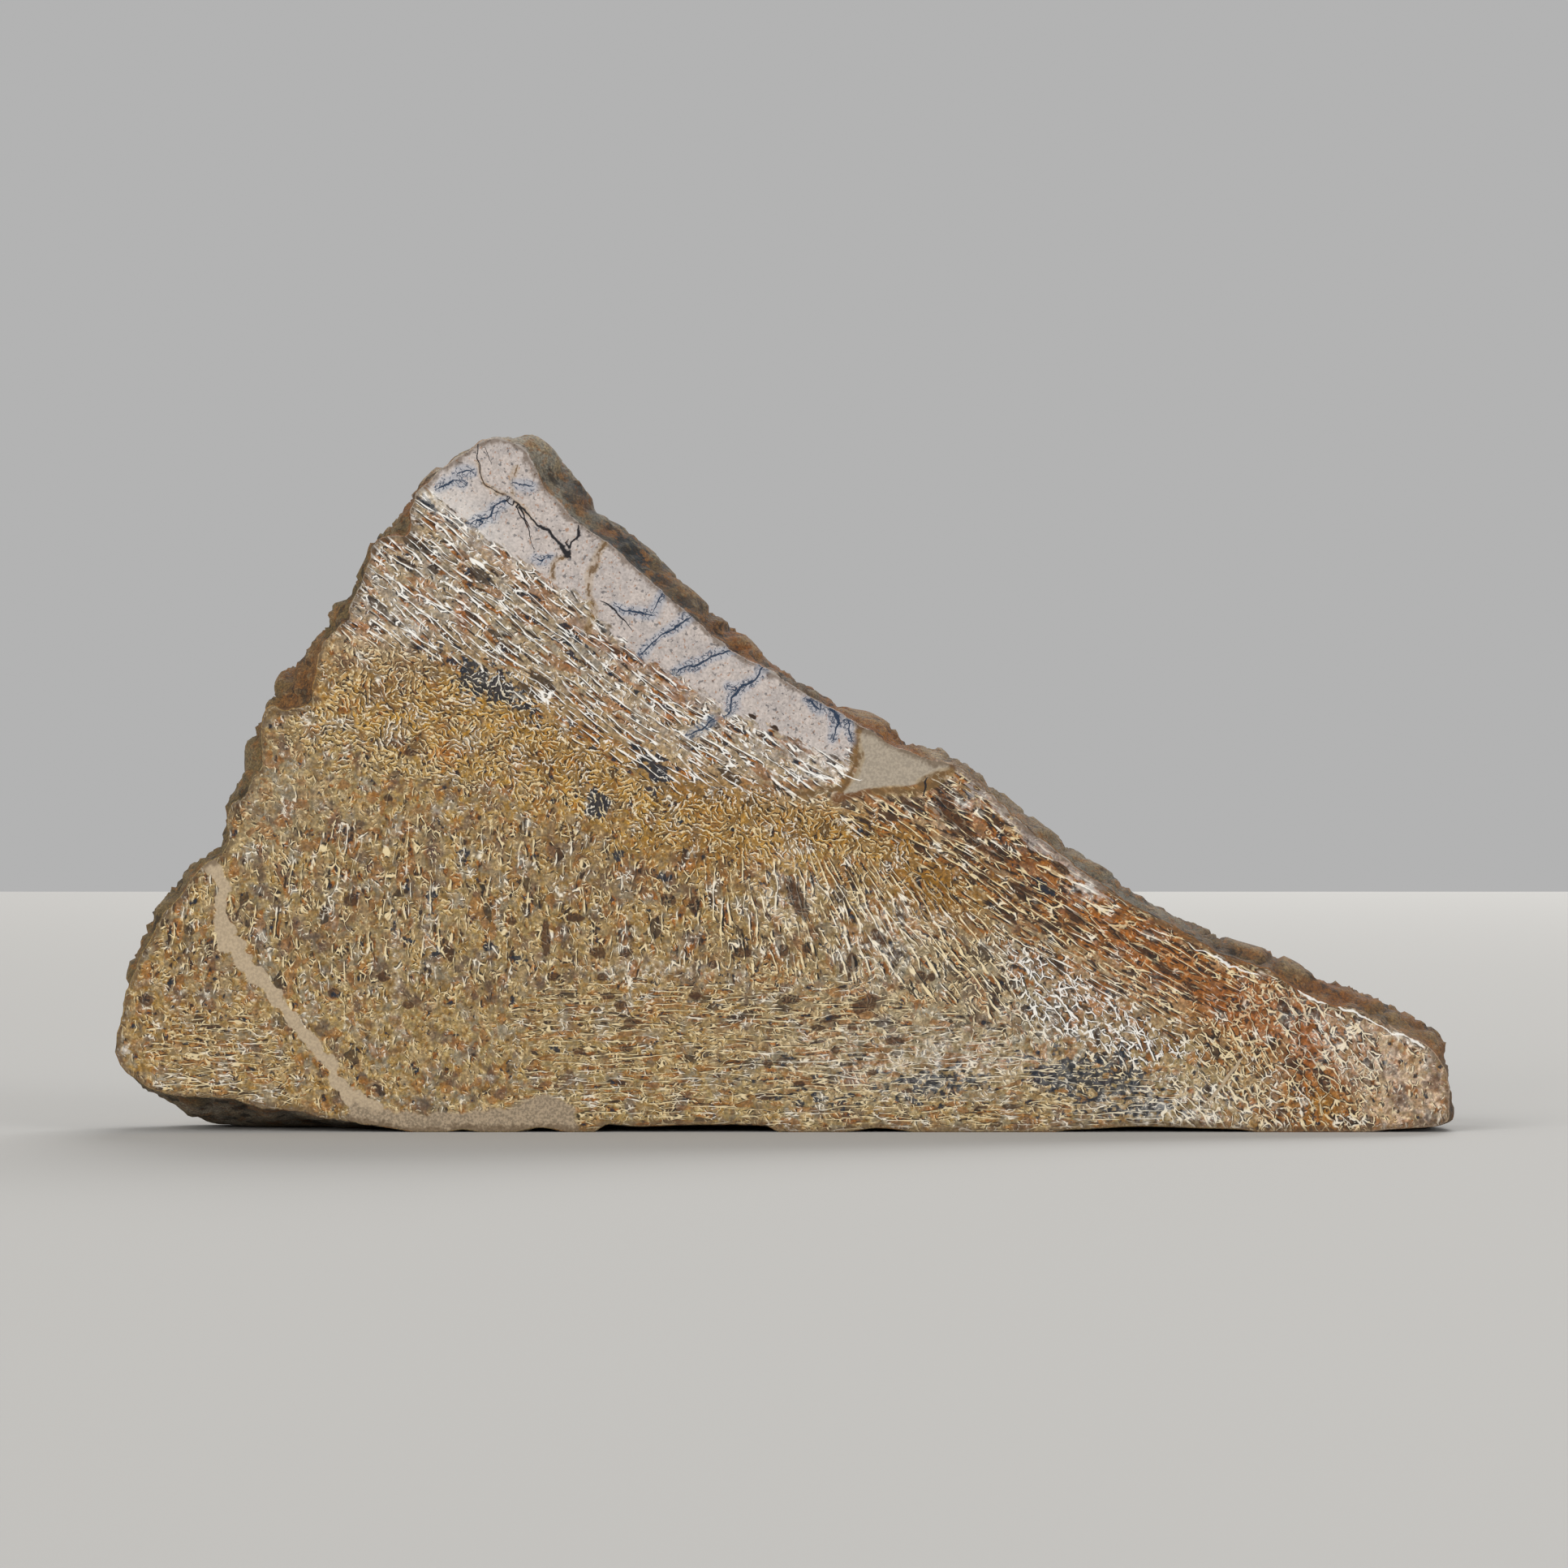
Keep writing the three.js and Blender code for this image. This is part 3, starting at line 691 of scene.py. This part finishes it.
class Graph:
    """Short calls that add nodes to a tree. An input may be a number, a colour or a socket."""

    def __init__(self, tree):
        self.tree = tree
        self.made = {}

    def node(self, kind, inputs=None, **settings):
        node = self.tree.nodes.new("ShaderNode" + kind)
        for name, value in settings.items():
            setattr(node, name, value)
        for key, value in (inputs or {}).items():
            self.put(node.inputs[key], value)
        return node

    def put(self, socket, value):
        if isinstance(value, bpy.types.NodeSocket):
            self.tree.links.new(value, socket)
        else:
            socket.default_value = value

    def math(self, operation, a, b=0.0):
        return self.node("Math", {0: a, 1: b}, operation=operation).outputs[0]

    def add(self, a, b):
        return self.math("ADD", a, b)

    def times(self, a, b):
        return self.math("MULTIPLY", a, b)

    def most(self, a, b):
        return self.math("MAXIMUM", a, b)

    def vector(self, operation, a, b):
        return self.node("VectorMath", {0: a, 1: b}, operation=operation).outputs[0]

    def step(self, value, low, high, bottom=0.0, top=1.0):
        """A smooth step from bottom to top as value goes from low to high."""
        inputs = {"Value": value, "From Min": low, "From Max": high,
                  "To Min": bottom, "To Max": top}
        return self.node("MapRange", inputs, interpolation_type="SMOOTHSTEP").outputs[0]

    def mix(self, share, below, above, kind="RGBA"):
        """From below to above as share goes from 0 to 1: colours, or the kind that is named."""
        first, second, out = MIX_SOCKETS[kind]
        inputs = {0: share, first: below, second: above}
        return self.node("Mix", inputs, data_type=kind).outputs[out]

    def over(self, colour, *layers):
        """A colour with others laid over it in turn, each given as its share and colour."""
        for share, above in layers:
            colour = self.mix(share, colour, above)
        return colour

    def lit(self, colour, light):
        """A colour made darker or brighter."""
        return self.node("HueSaturation", {"Color": colour, "Value": light}).outputs[0]

    def noise(self, where, size, detail=2.0, roughness=0.5, colour=False):
        """Noise about 0.5 whose lumps are about size across."""
        inputs = {"Vector": where, "Scale": 1 / size, "Detail": detail, "Roughness": roughness}
        return self.node("TexNoise", inputs).outputs[1 if colour else 0]

    def centred(self, value, reach):
        """A value about 0.5 as one about 0 that swings reach times as far."""
        return self.times(self.math("SUBTRACT", value, 0.5), reach)

    def wavy(self, where, size, detail, reach):
        return self.centred(self.noise(where, size, detail), reach)

    def parts(self, vector):
        return self.node("SeparateXYZ", {0: vector}).outputs

    def join(self, x, y, z):
        return self.node("CombineXYZ", {0: x, 1: y, 2: z}).outputs[0]

    def field(self, name):
        """One of the mesh's fields."""
        group, part = divmod(FIELD_NAMES.index(name), 3)
        if group not in self.made:
            attribute = self.node("Attribute", attribute_name=f"fields_{group}")
            self.made[group] = self.parts(attribute.outputs["Vector"])
        return self.made[group][part]


# ---------------------------------------------------------------- the bone's pattern

# Kinds of spongy bone: the directions that its walls follow, a cell's size in mm across and
# along them, and the SETTINGS. These are the walls' wandering in cells, how much there is of
# closed cells and of long walls, half a long wall's share of its spacing, how many short
# strokes there are and their length in mm, how much dark filling there is, how far the walls
# and their painted shadow lines stand out, and how mottled the fillings are.
SETTINGS = ("ragged", "net", "lines", "wall", "strokes", "curl", "pores", "white", "mottle")
SPECKLED = ("upright", (1.15, 1.35), (0.5, 0, 0.3, 0.06, 0.2, 0.8, -0.3, 0.8, 1))
CURLED = ("upright", (1.2, 1.2), (0.8, 0, 0.2, 0.08, 0.6, 1.1, -0.2, 0.9, 0.8))
UPRIGHT = ("upright", (1.15, 1.8), (0.35, 0.15, 0.38, 0.065, 0.2, 0.8, 0.1, 0.9, 1))
LAID = ("laid", (0.72, 2), (0.35, 0.2, 0.5, 0.065, 0.25, 0.8, 0.1, 0.85, 0.9))
STREAKED = ("slope", (0.9, 2.7), (0.42, 0.14, 0.5, 0.075, 0.2, 1, 0.3, 0.92, 0.45))
WEDGED = ("slope", (0.92, 2.7), (0.5, 0.2, 0.55, 0.07, 0.15, 1, 1.4, 0.95, 0.9))
FANNED = ("fan", (1.1, 2.5), (0.6, 0.05, 0.54, 0.08, 0.32, 1, 0.2, 1, 0.8))
NETTED = ("steep", (1.15, 1.5), (0.55, 0.35, 0.6, 0.07, 0.2, 0.8, 0.6, 0.9, 0.7))
ZONES = [("golden", CURLED), ("uprights", UPRIGHT), ("fan", FANNED), ("lamellae", LAID),
         ("left_lamellae", LAID), ("net", NETTED), ("streaks", STREAKED), ("wedge", WEDGED),
         ("tip", NETTED), ("fine_tip", SPECKLED)]
ZONE_BORDERS = (3, 3, 13)    # their waviness: size, detail and reach
CELL_DEPTH = 5               # a cell's size through the slab, in mm
STEEP = (0.82, 0.57)         # square to the walls of the steep net
ACROSS_SLOPE = 0.95          # radians from +X, square to the upper edge
LONG_WAVES = (0.55, 1.8)     # of the long walls: scale and frequency, in cells
STROKE_PITCH = 0.6           # between the short strokes, in mm
STROKE_HALF = 0.13           # half a stroke's share of its spacing

# Patches of other tints in the fillings, in the order that they are laid: the noise and which
# part of it, where a patch starts and ends in it, the tint's share on either side, the tint,
# and whether less mottled kinds of bone have less of it.
MOTTLES = [
    ("wide", 0, (0.51, 0.6), (0, 0.55), BLUE_GREY, True),
    ("wide", 0, (0.4, 0.48), (0.4, 0), PALE_FILL, False),
    ("wide", 1, (0.53, 0.62), (0, 0.6), RED_BROWN, True),
    ("wide", 1, (0.38, 0.47), (0.5, 0), OCHRE, True),
    ("small", 0, (0.52, 0.64), (0, 0.6), OCHRE, True),
    ("small", 2, (0.36, 0.48), (0.6, 0), PALE_FILL, False),
    ("near", 0, (0.34, 0.44), (0.5, 0), GREY_BEIGE, False),
    ("number", 0, (0.84, 0.86), (0, 0.55), FOX, False),
    ("number", 0, (0.14, 0.16), (0.5, 0), PALE_FILL, False),
    ("wide", 2, (0.57, 0.65), (0, 0.65), PORE_VIOLET, True),
]
# The same on the rough side. By the relief's height, ROCK_PALE lightens the raised chips as worn stone
# and ROCK_DARK darkens the hollows as painted shade.
ROCK_PATCHES = [
    ("cloud", 0, (0.46, 0.6), (0, 0.4), ROCK_TAN, False),
    ("cloud", 1, (0.53, 0.62), (0, 0.6), ROCK_OCHRE, False),
    ("cloud", 2, (0.54, 0.62), (0, 0.75), ROCK_DARK, False),
    ("height", 0, (0.1, 0.7), (0, 0.5), ROCK_PALE, False),
    # Painted shade: ROCK_DARK in the hollows of the relief.
    ("height", 0, (-0.9, -0.1), (0.85, 0), ROCK_DARK, False),
    ("crumb", 1, (0.56, 0.64), (0, 0.5), RIND_FOX, False),
]


def directions(g, place):
    """The stone's sets of directions, each as a place with the way across its walls first."""
    x, depth, z = g.parts(place)
    return {"upright": g.join(x, z, depth), "laid": g.join(z, x, depth),
            "slope": g.join(g.field("below_slope"), g.field("along_slope"), depth),
            "steep": g.join(g.add(g.times(x, STEEP[0]), g.times(z, STEEP[1])),
                            g.add(g.times(x, STEEP[1]), g.times(z, -STEEP[0])), depth),
            "fan": g.join(g.field("across_fan"), g.field("along_fan"), depth)}


def cell_settings(g, place):
    """Where a place lies among the cells, in cells, and the settings of the bone there. Each
    zone takes over from the one before it at an uneven border."""
    ways = directions(g, place)
    uneven = g.wavy(place, *ZONE_BORDERS)
    along, cell, settings = SPECKLED
    where = g.vector("DIVIDE", ways[along], (*cell, CELL_DEPTH))
    for name, (along, cell, others) in ZONES:
        share = g.math("GREATER_THAN", g.add(g.field(name), uneven), 0)
        there = g.vector("DIVIDE", ways[along], (*cell, CELL_DEPTH))
        where = g.mix(share, where, there, "VECTOR")
        settings = [g.mix(share, *pair, "FLOAT") for pair in zip(settings, others)]
    return where, dict(zip(SETTINGS, settings))


def waves(g, where, scale, frequency, turn):
    """Waves that run across the first direction where turn is 0: how far each place is past
    the nearest crest, from -0.5 to 0.5 of the spacing, and how clear the waves are there."""
    inputs = {"Vector": where, "Scale": scale, "Frequency": frequency, "Anisotropy": 1,
              "Orientation 2D": turn}
    outputs = g.node("TexGabor", inputs, gabor_type="2D").outputs
    return g.math("SUBTRACT", outputs["Phase"], 0.5), g.step(outputs["Intensity"], 0.08, 0.18)


def ridge(g, past, half, shown):
    """A bright line of this half thickness on each crest, and a painted shadow line beside it, on one
    side only.
    """
    off = g.math("DIVIDE", past, half)
    bright = g.step(g.math("ABSOLUTE", off), 0.6, 1.4, 1, 0)
    # Painted shadow: a dark line on one side of the crest, as if the wall stood up from the face.
    dark = g.times(g.step(off, 0.8, 1.5), g.step(off, 2.4, 3.8, 1, 0))
    return g.times(bright, shown), g.times(dark, shown)


def short_strokes(g, place, bone):
    """Short curled walls, and their painted shadow lines."""
    x, _, z = g.parts(place)
    small = bone["small"]
    turn = g.add(ACROSS_SLOPE, g.wavy(place, 2.2, 2, 9))
    swayed = g.join(g.add(x, g.times(small[0], 0.9)), g.add(z, g.times(small[2], 0.9)), 0)
    past, clear = waves(g, swayed, g.math("DIVIDE", 1, bone["curl"]),
                        g.times(bone["curl"], 1 / STROKE_PITCH), turn)
    kept = g.step(g.add(small[1], g.times(bone["strokes"], 0.4)), 0.58, 0.7)
    return ridge(g, past, STROKE_HALF, g.times(clear, kept))


def bone_structure(g, place):
    """The settings of the bone at each place, with the noises that its colours share (wide,
    small, near in cells, and number for each cell), and how much wall, painted shadow line
    beside the walls and dark filling between long walls shows there."""
    where, bone = cell_settings(g, place)
    bone["wide"] = g.parts(g.noise(place, 2.6, 3, colour=True))
    bone["small"] = g.parts(g.noise(place, 0.7, 2, colour=True))
    bone["near"] = near = g.parts(g.noise(where, 1, 2, colour=True))
    wander = g.vector("SUBTRACT", g.noise(where, 0.7, 2, colour=True), (0.5, 0.5, 0.5))
    reach = g.join(bone["ragged"], bone["ragged"], 0)
    bent = g.node("VectorMath", {0: wander, 1: reach, 2: where},
                  operation="MULTIPLY_ADD").outputs[0]
    cell = g.node("TexVoronoi", {"Vector": bent, "Scale": 1}, feature="F1")
    edge = g.node("TexVoronoi", {"Vector": bent, "Scale": 1}, feature="DISTANCE_TO_EDGE")
    bone["number"] = g.parts(cell.outputs["Color"])

    thick = g.times(bone["wall"], g.step(near[2], 0.35, 0.65, 0.35, 0.9))
    shown = g.step(g.add(near[0], g.times(bone["net"], 0.4)), 0.58, 0.68)
    net, net_painted_shadow = ridge(g, edge.outputs["Distance"], thick, shown)
    turn = g.wavy(where, 2, 1, g.times(bone["ragged"], 5))
    past, clear = waves(g, bent, *LONG_WAVES, turn)
    shown = g.step(g.add(near[1], g.times(bone["lines"], 0.5)), 0.68, 0.78)
    lines, lines_painted_shadow = ridge(g, past, g.times(thick, 1.6), g.times(clear, shown))
    strokes, strokes_painted_shadow = short_strokes(g, place, bone)

    walls = g.most(g.most(net, lines), g.times(strokes, 0.85))
    bone["walls"] = g.times(walls, bone["white"])
    # How much painted shadow line shows beside the walls.
    bone["dark"] = g.times(g.most(g.most(net_painted_shadow, lines_painted_shadow), strokes_painted_shadow), bone["white"])
    amount = g.step(g.add(near[1], g.times(bone["pores"], 0.1)), 0.56, 0.64)
    bone["dips"] = g.times(amount, g.step(g.math("ABSOLUTE", past), 0.2, 0.32))
    return bone


def filled_pores(g, patchy):
    """How much of a filled pore shows at each place."""
    deep = g.times(g.field("pores"), 1.5)
    return g.step(g.add(deep, g.times(patchy, 0.6)), 0.65, 0.9)


def tone_colour(g):
    """The colour of the stone around a place."""
    return g.node("Attribute", attribute_name="tone").outputs["Color"]


def patched(g, colour, patches, noises, mottle=1):
    """A colour with the patches of a list laid over it."""
    for name, part, (start, end), (before, after), tone, weakens in patches:
        share = g.step(noises[name][part], start, end, before, after)
        colour = g.mix(g.times(share, mottle) if weakens else share, colour, tone)
    return colour


def stained_fillings(g, place, bone, pores):
    """The fillings' colour, with stains, dark fillings, filled pores and soot-blue patches."""
    wide, small, near, number = (bone[name] for name in ("wide", "small", "near", "number"))
    rust = g.times(g.field("rust"), g.step(near[1], 0.3, 0.6, 0.65, 1))
    violet = g.times(g.field("violet"), g.step(wide[2], 0.4, 0.55, 0.5, 1))
    dip_tint = g.mix(g.step(near[2], 0.46, 0.56), PORE_BROWN, FOX)
    rare = g.step(g.add(number[1], g.times(bone["pores"], 0.06)), 0.96, 0.98, 0, 0.8)
    star = g.times(g.step(small[0], 0.6, 0.66), g.step(wide[1], 0.34, 0.42, 1, 0))
    uneven = g.add(g.times(near[1], 2), g.times(small[0], 1.6))
    sooty = g.step(g.add(g.field("soot"), g.math("SUBTRACT", uneven, 1.8)), 0.4, 0.6)
    fill = g.over(patched(g, tone_colour(g), MOTTLES, bone, bone["mottle"]),
                  (rust, RUST), (g.times(g.field("ochre"), 0.95), OCHRE), (violet, PORE_VIOLET),
                  (g.times(bone["dips"], 0.95), dip_tint), (rare, PORE_BROWN),
                  (g.times(pores, 0.9), PORE_UMBER), (g.times(g.most(sooty, star), 0.9), SOOT))
    grain = g.step(g.noise(place, 0.3, 2), 0.3, 0.7, 0.7, 1.26)
    return g.lit(fill, g.times(grain, g.step(small[1], 0.36, 0.64, 0.7, 1.24)))


def pattern_colour(g, place):
    """The bone's colour and how much wall shows at each place."""
    bone = bone_structure(g, place)
    wide, pale = bone["wide"][0], g.field("pale")
    patchy = g.centred(bone["small"][1], 1.6)
    pores = filled_pores(g, patchy)
    stained = g.most(g.step(g.field("ochre"), 0.6, 1, 0, 0.6),
                     g.step(g.field("rust"), 0.6, 1, 0, 0.4))
    clear = g.math("SUBTRACT", 1, g.most(g.times(pores, 0.8), stained))
    whiter = g.most(pale, g.step(g.most(g.field("streaks"), g.field("net")), -2, 2))
    wall_tone = g.mix(g.most(whiter, g.step(wide, 0.5, 0.62, 0, 0.6)), WALL_CREAM, WALL_WHITE)
    haze = g.step(g.add(bone["near"][0], g.most(wide, pale)), 1.15, 1.45, 0, 0.35)
    walls = g.times(g.times(bone["walls"], 0.95), clear)
    bleached = g.times(pale, g.step(patchy, -0.2, 0.3, 0, 0.5))
    # The first layer over the fillings is the painted shadow line beside the walls.
    colour = g.over(stained_fillings(g, place, bone, pores), (bone["dark"], PAINTED_SHADOW_TINT),
                    (g.times(haze, clear), wall_tone), (walls, wall_tone),
                    (g.times(bleached, clear), WALL_WHITE))
    return colour, walls


def speckled(g, tone, speck, low, high):
    """One colour with a fine grain of brightness."""
    return g.lit(tone, g.step(speck, 0.35, 0.65, low, high))


def outer_band(g, place, colour, blotch, speck):
    """The dense band along the upper edge, its lower border streaked and its rim whitish."""
    specks = g.parts(g.noise(place, 0.5, 2, colour=True))
    plain_band = g.mix(g.step(blotch, 0.4, 0.7, 0, 0.7), PINK_CREAM, BAND_GREY)
    dense = g.over(speckled(g, plain_band, speck, 0.84, 1.12),
                   (g.step(specks[0], 0.6, 0.68, 0, 0.6), FOX),
                   (g.step(specks[1], 0.61, 0.67, 0, 0.6), SOOT),
                   (g.times(g.field("pale"), 0.7), WALL_WHITE),
                   (filled_pores(g, 0), PORE_BROWN))
    across, along = g.times(g.field("below_slope"), 1.6), g.times(g.field("along_slope"), 0.5)
    streaky = g.noise(g.join(across, along, 0), 1, 3)
    edge = g.centred(streaky, 4.5)
    band = g.most(g.add(g.field("cortex"), edge),
                  g.add(g.field("cortex_right"), g.times(edge, 1.2)))
    share = g.times(g.step(band, -0.3, 0.3), g.step(g.field("cortex"), -6, -3, 0.55, 1))
    rim = g.times(g.step(g.add(g.field("rim"), g.times(streaky, 0.5)), 0.3, 0.5, 1, 0),
                  g.step(band, -1.5, 0.5, 0.1, 0.6))
    return g.over(colour, (share, dense), (rim, WALL_WHITE))


def dense_parts(g, place, colour):
    """The parts without cells laid over the pattern: the outer band, the cream vein and patch,
    and the matrix pocket with its brown border."""
    speck = g.noise(place, 0.3, 3)
    blotch = g.noise(place, 1.6, 3)
    wobble = g.centred(blotch, 2)
    vein = g.add(g.math("ABSOLUTE", g.field("cream_veins")), wobble)
    patch = g.add(g.field("cream_patch"), wobble)
    pocket = g.add(g.field("matrix"), g.times(wobble, 0.35))
    border = g.times(g.step(pocket, -1, -0.4), g.step(blotch, 0.3, 0.45, 0.3, 1))
    return g.over(outer_band(g, place, colour, blotch, speck),
                  (g.step(vein, 0.75, 1, 1, 0), speckled(g, CREAM_PINK, speck, 0.86, 1.1)),
                  (g.step(patch, -0.3, 0.4), speckled(g, CREAM_FILL, speck, 0.62, 1.12)),
                  (g.times(border, 0.85), MATRIX_BORDER),
                  (g.step(pocket, -0.15, 0.15), speckled(g, MATRIX_GREY, speck, 0.86, 1.14)))


def worn_rim_with_painted_shadow(g, place, colour):
    """The polish's worn, browner edge; along the base the same browning is a painted contact shadow."""
    inward = g.add(g.field("rim"), g.wavy(place, 1.2, 3, 2))
    return g.mix(g.step(inward, 0.3, 1, 0.65, 0), colour, RIND_BROWN)


def line_share(g, place, name, jitter, fade, width=1):
    """How much of a line's colour a place takes. jitter is its wandering in half widths."""
    across = g.math("ABSOLUTE", g.add(g.field(name), g.wavy(place, 0.7, 4, jitter)))
    close = g.step(g.field(name + "_near"), 0.55, 0.85)
    return g.times(g.step(across, width * (1 - fade), width * (1 + fade), 1, 0), close)


def side_branches(g, place, name):
    """Thin crooked branches beside a vein, thinning out away from it."""
    off_crest = g.math("ABSOLUTE", g.math("SUBTRACT", g.noise(place, 1, 4), 0.5))
    kept = g.step(g.add(g.field(name + "_near"), g.noise(place, 0.9, 2)), 0.95, 1.1)
    return g.times(g.step(off_crest, 0.012, 0.03, 1, 0), kept)


def with_lines(g, place, colour):
    """Veins and cracks drawn over everything else, and the tinted stone beside the veins."""
    beside_rust = g.times(g.step(g.field("rust_veins_near"), 0.5, 0.95), 0.3)
    broken = g.step(g.noise(place, 0.8, 3), 0.4, 0.52, 0.15, 0.9)
    rust = g.times(line_share(g, place, "rust_veins", 5, 0.6), broken)
    white = g.times(line_share(g, place, "white_veins", 3, 0.4, 0.75), 0.8)
    beside_blue = g.times(g.step(g.field("blue_veins_near"), 0, 0.8), 0.35)
    branches = g.times(side_branches(g, place, "blue_veins"), 0.8)
    blue = g.times(line_share(g, place, "blue_veins", 4, 0.3, 0.95), 0.95)
    cracks = line_share(g, place, "cracks", 2.4, 0.4, 0.75)
    return g.over(colour, (beside_rust, TAN), (rust, VEIN_RUST), (white, WALL_WHITE),
                  (beside_blue, VEIN_HALO), (branches, VEIN_BLUE), (blue, VEIN_BLUE),
                  (cracks, CRACK_BLACK))


def new_material(name):
    material = bpy.data.materials.new(name)
    material.use_nodes = True
    graph = Graph(material.node_tree)
    material.node_tree.nodes.clear()
    shader = graph.node("BsdfPrincipled")
    output = graph.node("OutputMaterial")
    material.node_tree.links.new(shader.outputs[0], output.inputs["Surface"])
    return material, graph, shader


def stone_place(g):
    """A place in the stone, in mm."""
    coordinates = g.node("TexCoord").outputs["Object"]
    return g.vector("MULTIPLY", coordinates, (1 / MM, 1 / MM, 1 / MM))


def cut_bone(name, roughness, polished):
    """Bone cut flat, with the roughness of its fillings and of its walls. A polish is worn and
    browner at its edge, where along the base the browning is a painted contact shadow, and bone
    that is only sawn is dusty."""
    material, g, shader = new_material(name)
    place = stone_place(g)
    colour, walls = pattern_colour(g, place)
    colour = dense_parts(g, place, colour)
    # A polished face's edge is browned: worn polish, and along the base a painted contact shadow.
    colour = with_lines(g, place, worn_rim_with_painted_shadow(g, place, colour) if polished else colour)
    dusty = colour if polished else g.mix(0.4, colour, SAWN_DUST)
    g.put(shader.inputs["Base Color"], dusty)
    g.put(shader.inputs["Roughness"], g.step(walls, 0, 1, *roughness))
    return material


def rough_stone():
    material, g, shader = new_material("rough_stone")
    place = stone_place(g)
    crumb = g.parts(g.noise(place, 0.9, 4, 0.65, colour=True))
    grain = g.noise(place, 0.3, 3, 0.6)
    noises = {"cloud": g.parts(g.noise(place, 2.4, 4, 0.6, colour=True)), "crumb": crumb,
              "height": [g.add(g.field("relief"), g.centred(crumb[0], 2.2))]}
    shade = patched(g, tone_colour(g), ROCK_PATCHES, noises)
    g.put(shader.inputs["Base Color"], g.lit(shade, g.step(grain, 0.3, 0.7, 0.55, 1.45)))
    g.put(shader.inputs["Roughness"], g.step(grain, 0.3, 0.7, 0.75, 0.95))
    bumps = g.add(crumb[0], g.times(grain, 0.4))
    bump = g.node("Bump", {"Height": bumps, "Strength": 0.9, "Distance": 0.6 * MM})
    g.put(shader.inputs["Normal"], bump.outputs[0])
    return material


# ---------------------------------------------------------------- the scene

FLOOR_HALF = 2.0             # here and for the lamps, in metres
SKY_STRENGTH = 0.45
LAMP_SIDE = 2.2
LAMP_TARGET = (0, 0, 0.04)
LAMPS = {"key": ((-2.2, -3.2, 1.7), 112), "fill": ((2.8, -3.0, 1.3), 66),
         "back_light": ((0.9, 3.0, 2.4), 95)}     # place and watts
CAMERA_DISTANCE = 900.0      # in front of the polished face
CAMERA_HEIGHT = 42.9
VIEW_WIDTH = 193.2           # of the face's plane across the picture
SENSOR = 36.0


def placed(name, data, location=(0, 0, 0)):
    """A new object in the scene."""
    thing = bpy.data.objects.new(name, data)
    thing.location = location
    bpy.context.scene.collection.objects.link(thing)
    return thing


def fossil_stone():
    rings = cad_rings(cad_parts["bone_slab"])
    mesh, points, heights = stone_mesh(rings)
    write_fields(mesh, points, rings[0][:, [0, 2]], heights)
    mesh.materials.append(cut_bone("polished_bone", (0.2, 0.3), True))
    mesh.materials.append(rough_stone())
    mesh.materials.append(cut_bone("sawn_bone", (0.75, 0.6), False))
    stone = placed("fossil_stone", mesh)
    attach(stone, "root")
    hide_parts("bone_slab")


def floor():
    material, _, shader = new_material("pale_floor")
    shader.inputs["Base Color"].default_value = FLOOR_PALE
    shader.inputs["Roughness"].default_value = 0.9
    signs = [(-1, -1), (1, -1), (1, 1), (-1, 1)]
    mesh = bpy.data.meshes.new("floor")
    mesh.from_pydata([(x * FLOOR_HALF, y * FLOOR_HALF, 0) for x, y in signs], [], [(0, 1, 2, 3)])
    mesh.materials.append(material)
    placed("floor", mesh)


def studio():
    scene = bpy.context.scene
    scene.view_settings.view_transform = "Standard"
    world = bpy.data.worlds.new("studio")
    world.use_nodes = True
    world.node_tree.nodes["Background"].inputs["Color"].default_value = (1, 1, 1, 1)
    world.node_tree.nodes["Background"].inputs["Strength"].default_value = SKY_STRENGTH
    scene.world = world
    for name, (location, watts) in LAMPS.items():
        lamp = bpy.data.lights.new(name, "AREA")
        lamp.shape = "SQUARE"
        lamp.size = LAMP_SIDE
        lamp.energy = watts
        aim = Vector(LAMP_TARGET) - Vector(location)
        placed(name, lamp, location).rotation_euler = aim.to_track_quat("-Z", "Y").to_euler()


def camera():
    data = bpy.data.cameras.new("camera")
    data.sensor_width = SENSOR
    data.lens = SENSOR * CAMERA_DISTANCE / VIEW_WIDTH
    data.clip_start = 0.01
    location = (0, (FRONT - CAMERA_DISTANCE) * MM, CAMERA_HEIGHT * MM)
    bpy.context.scene.camera = placed("camera", data, location)
    bpy.context.scene.camera.rotation_euler = (math.pi / 2, 0, 0)


fossil_stone()
floor()
studio()
camera()
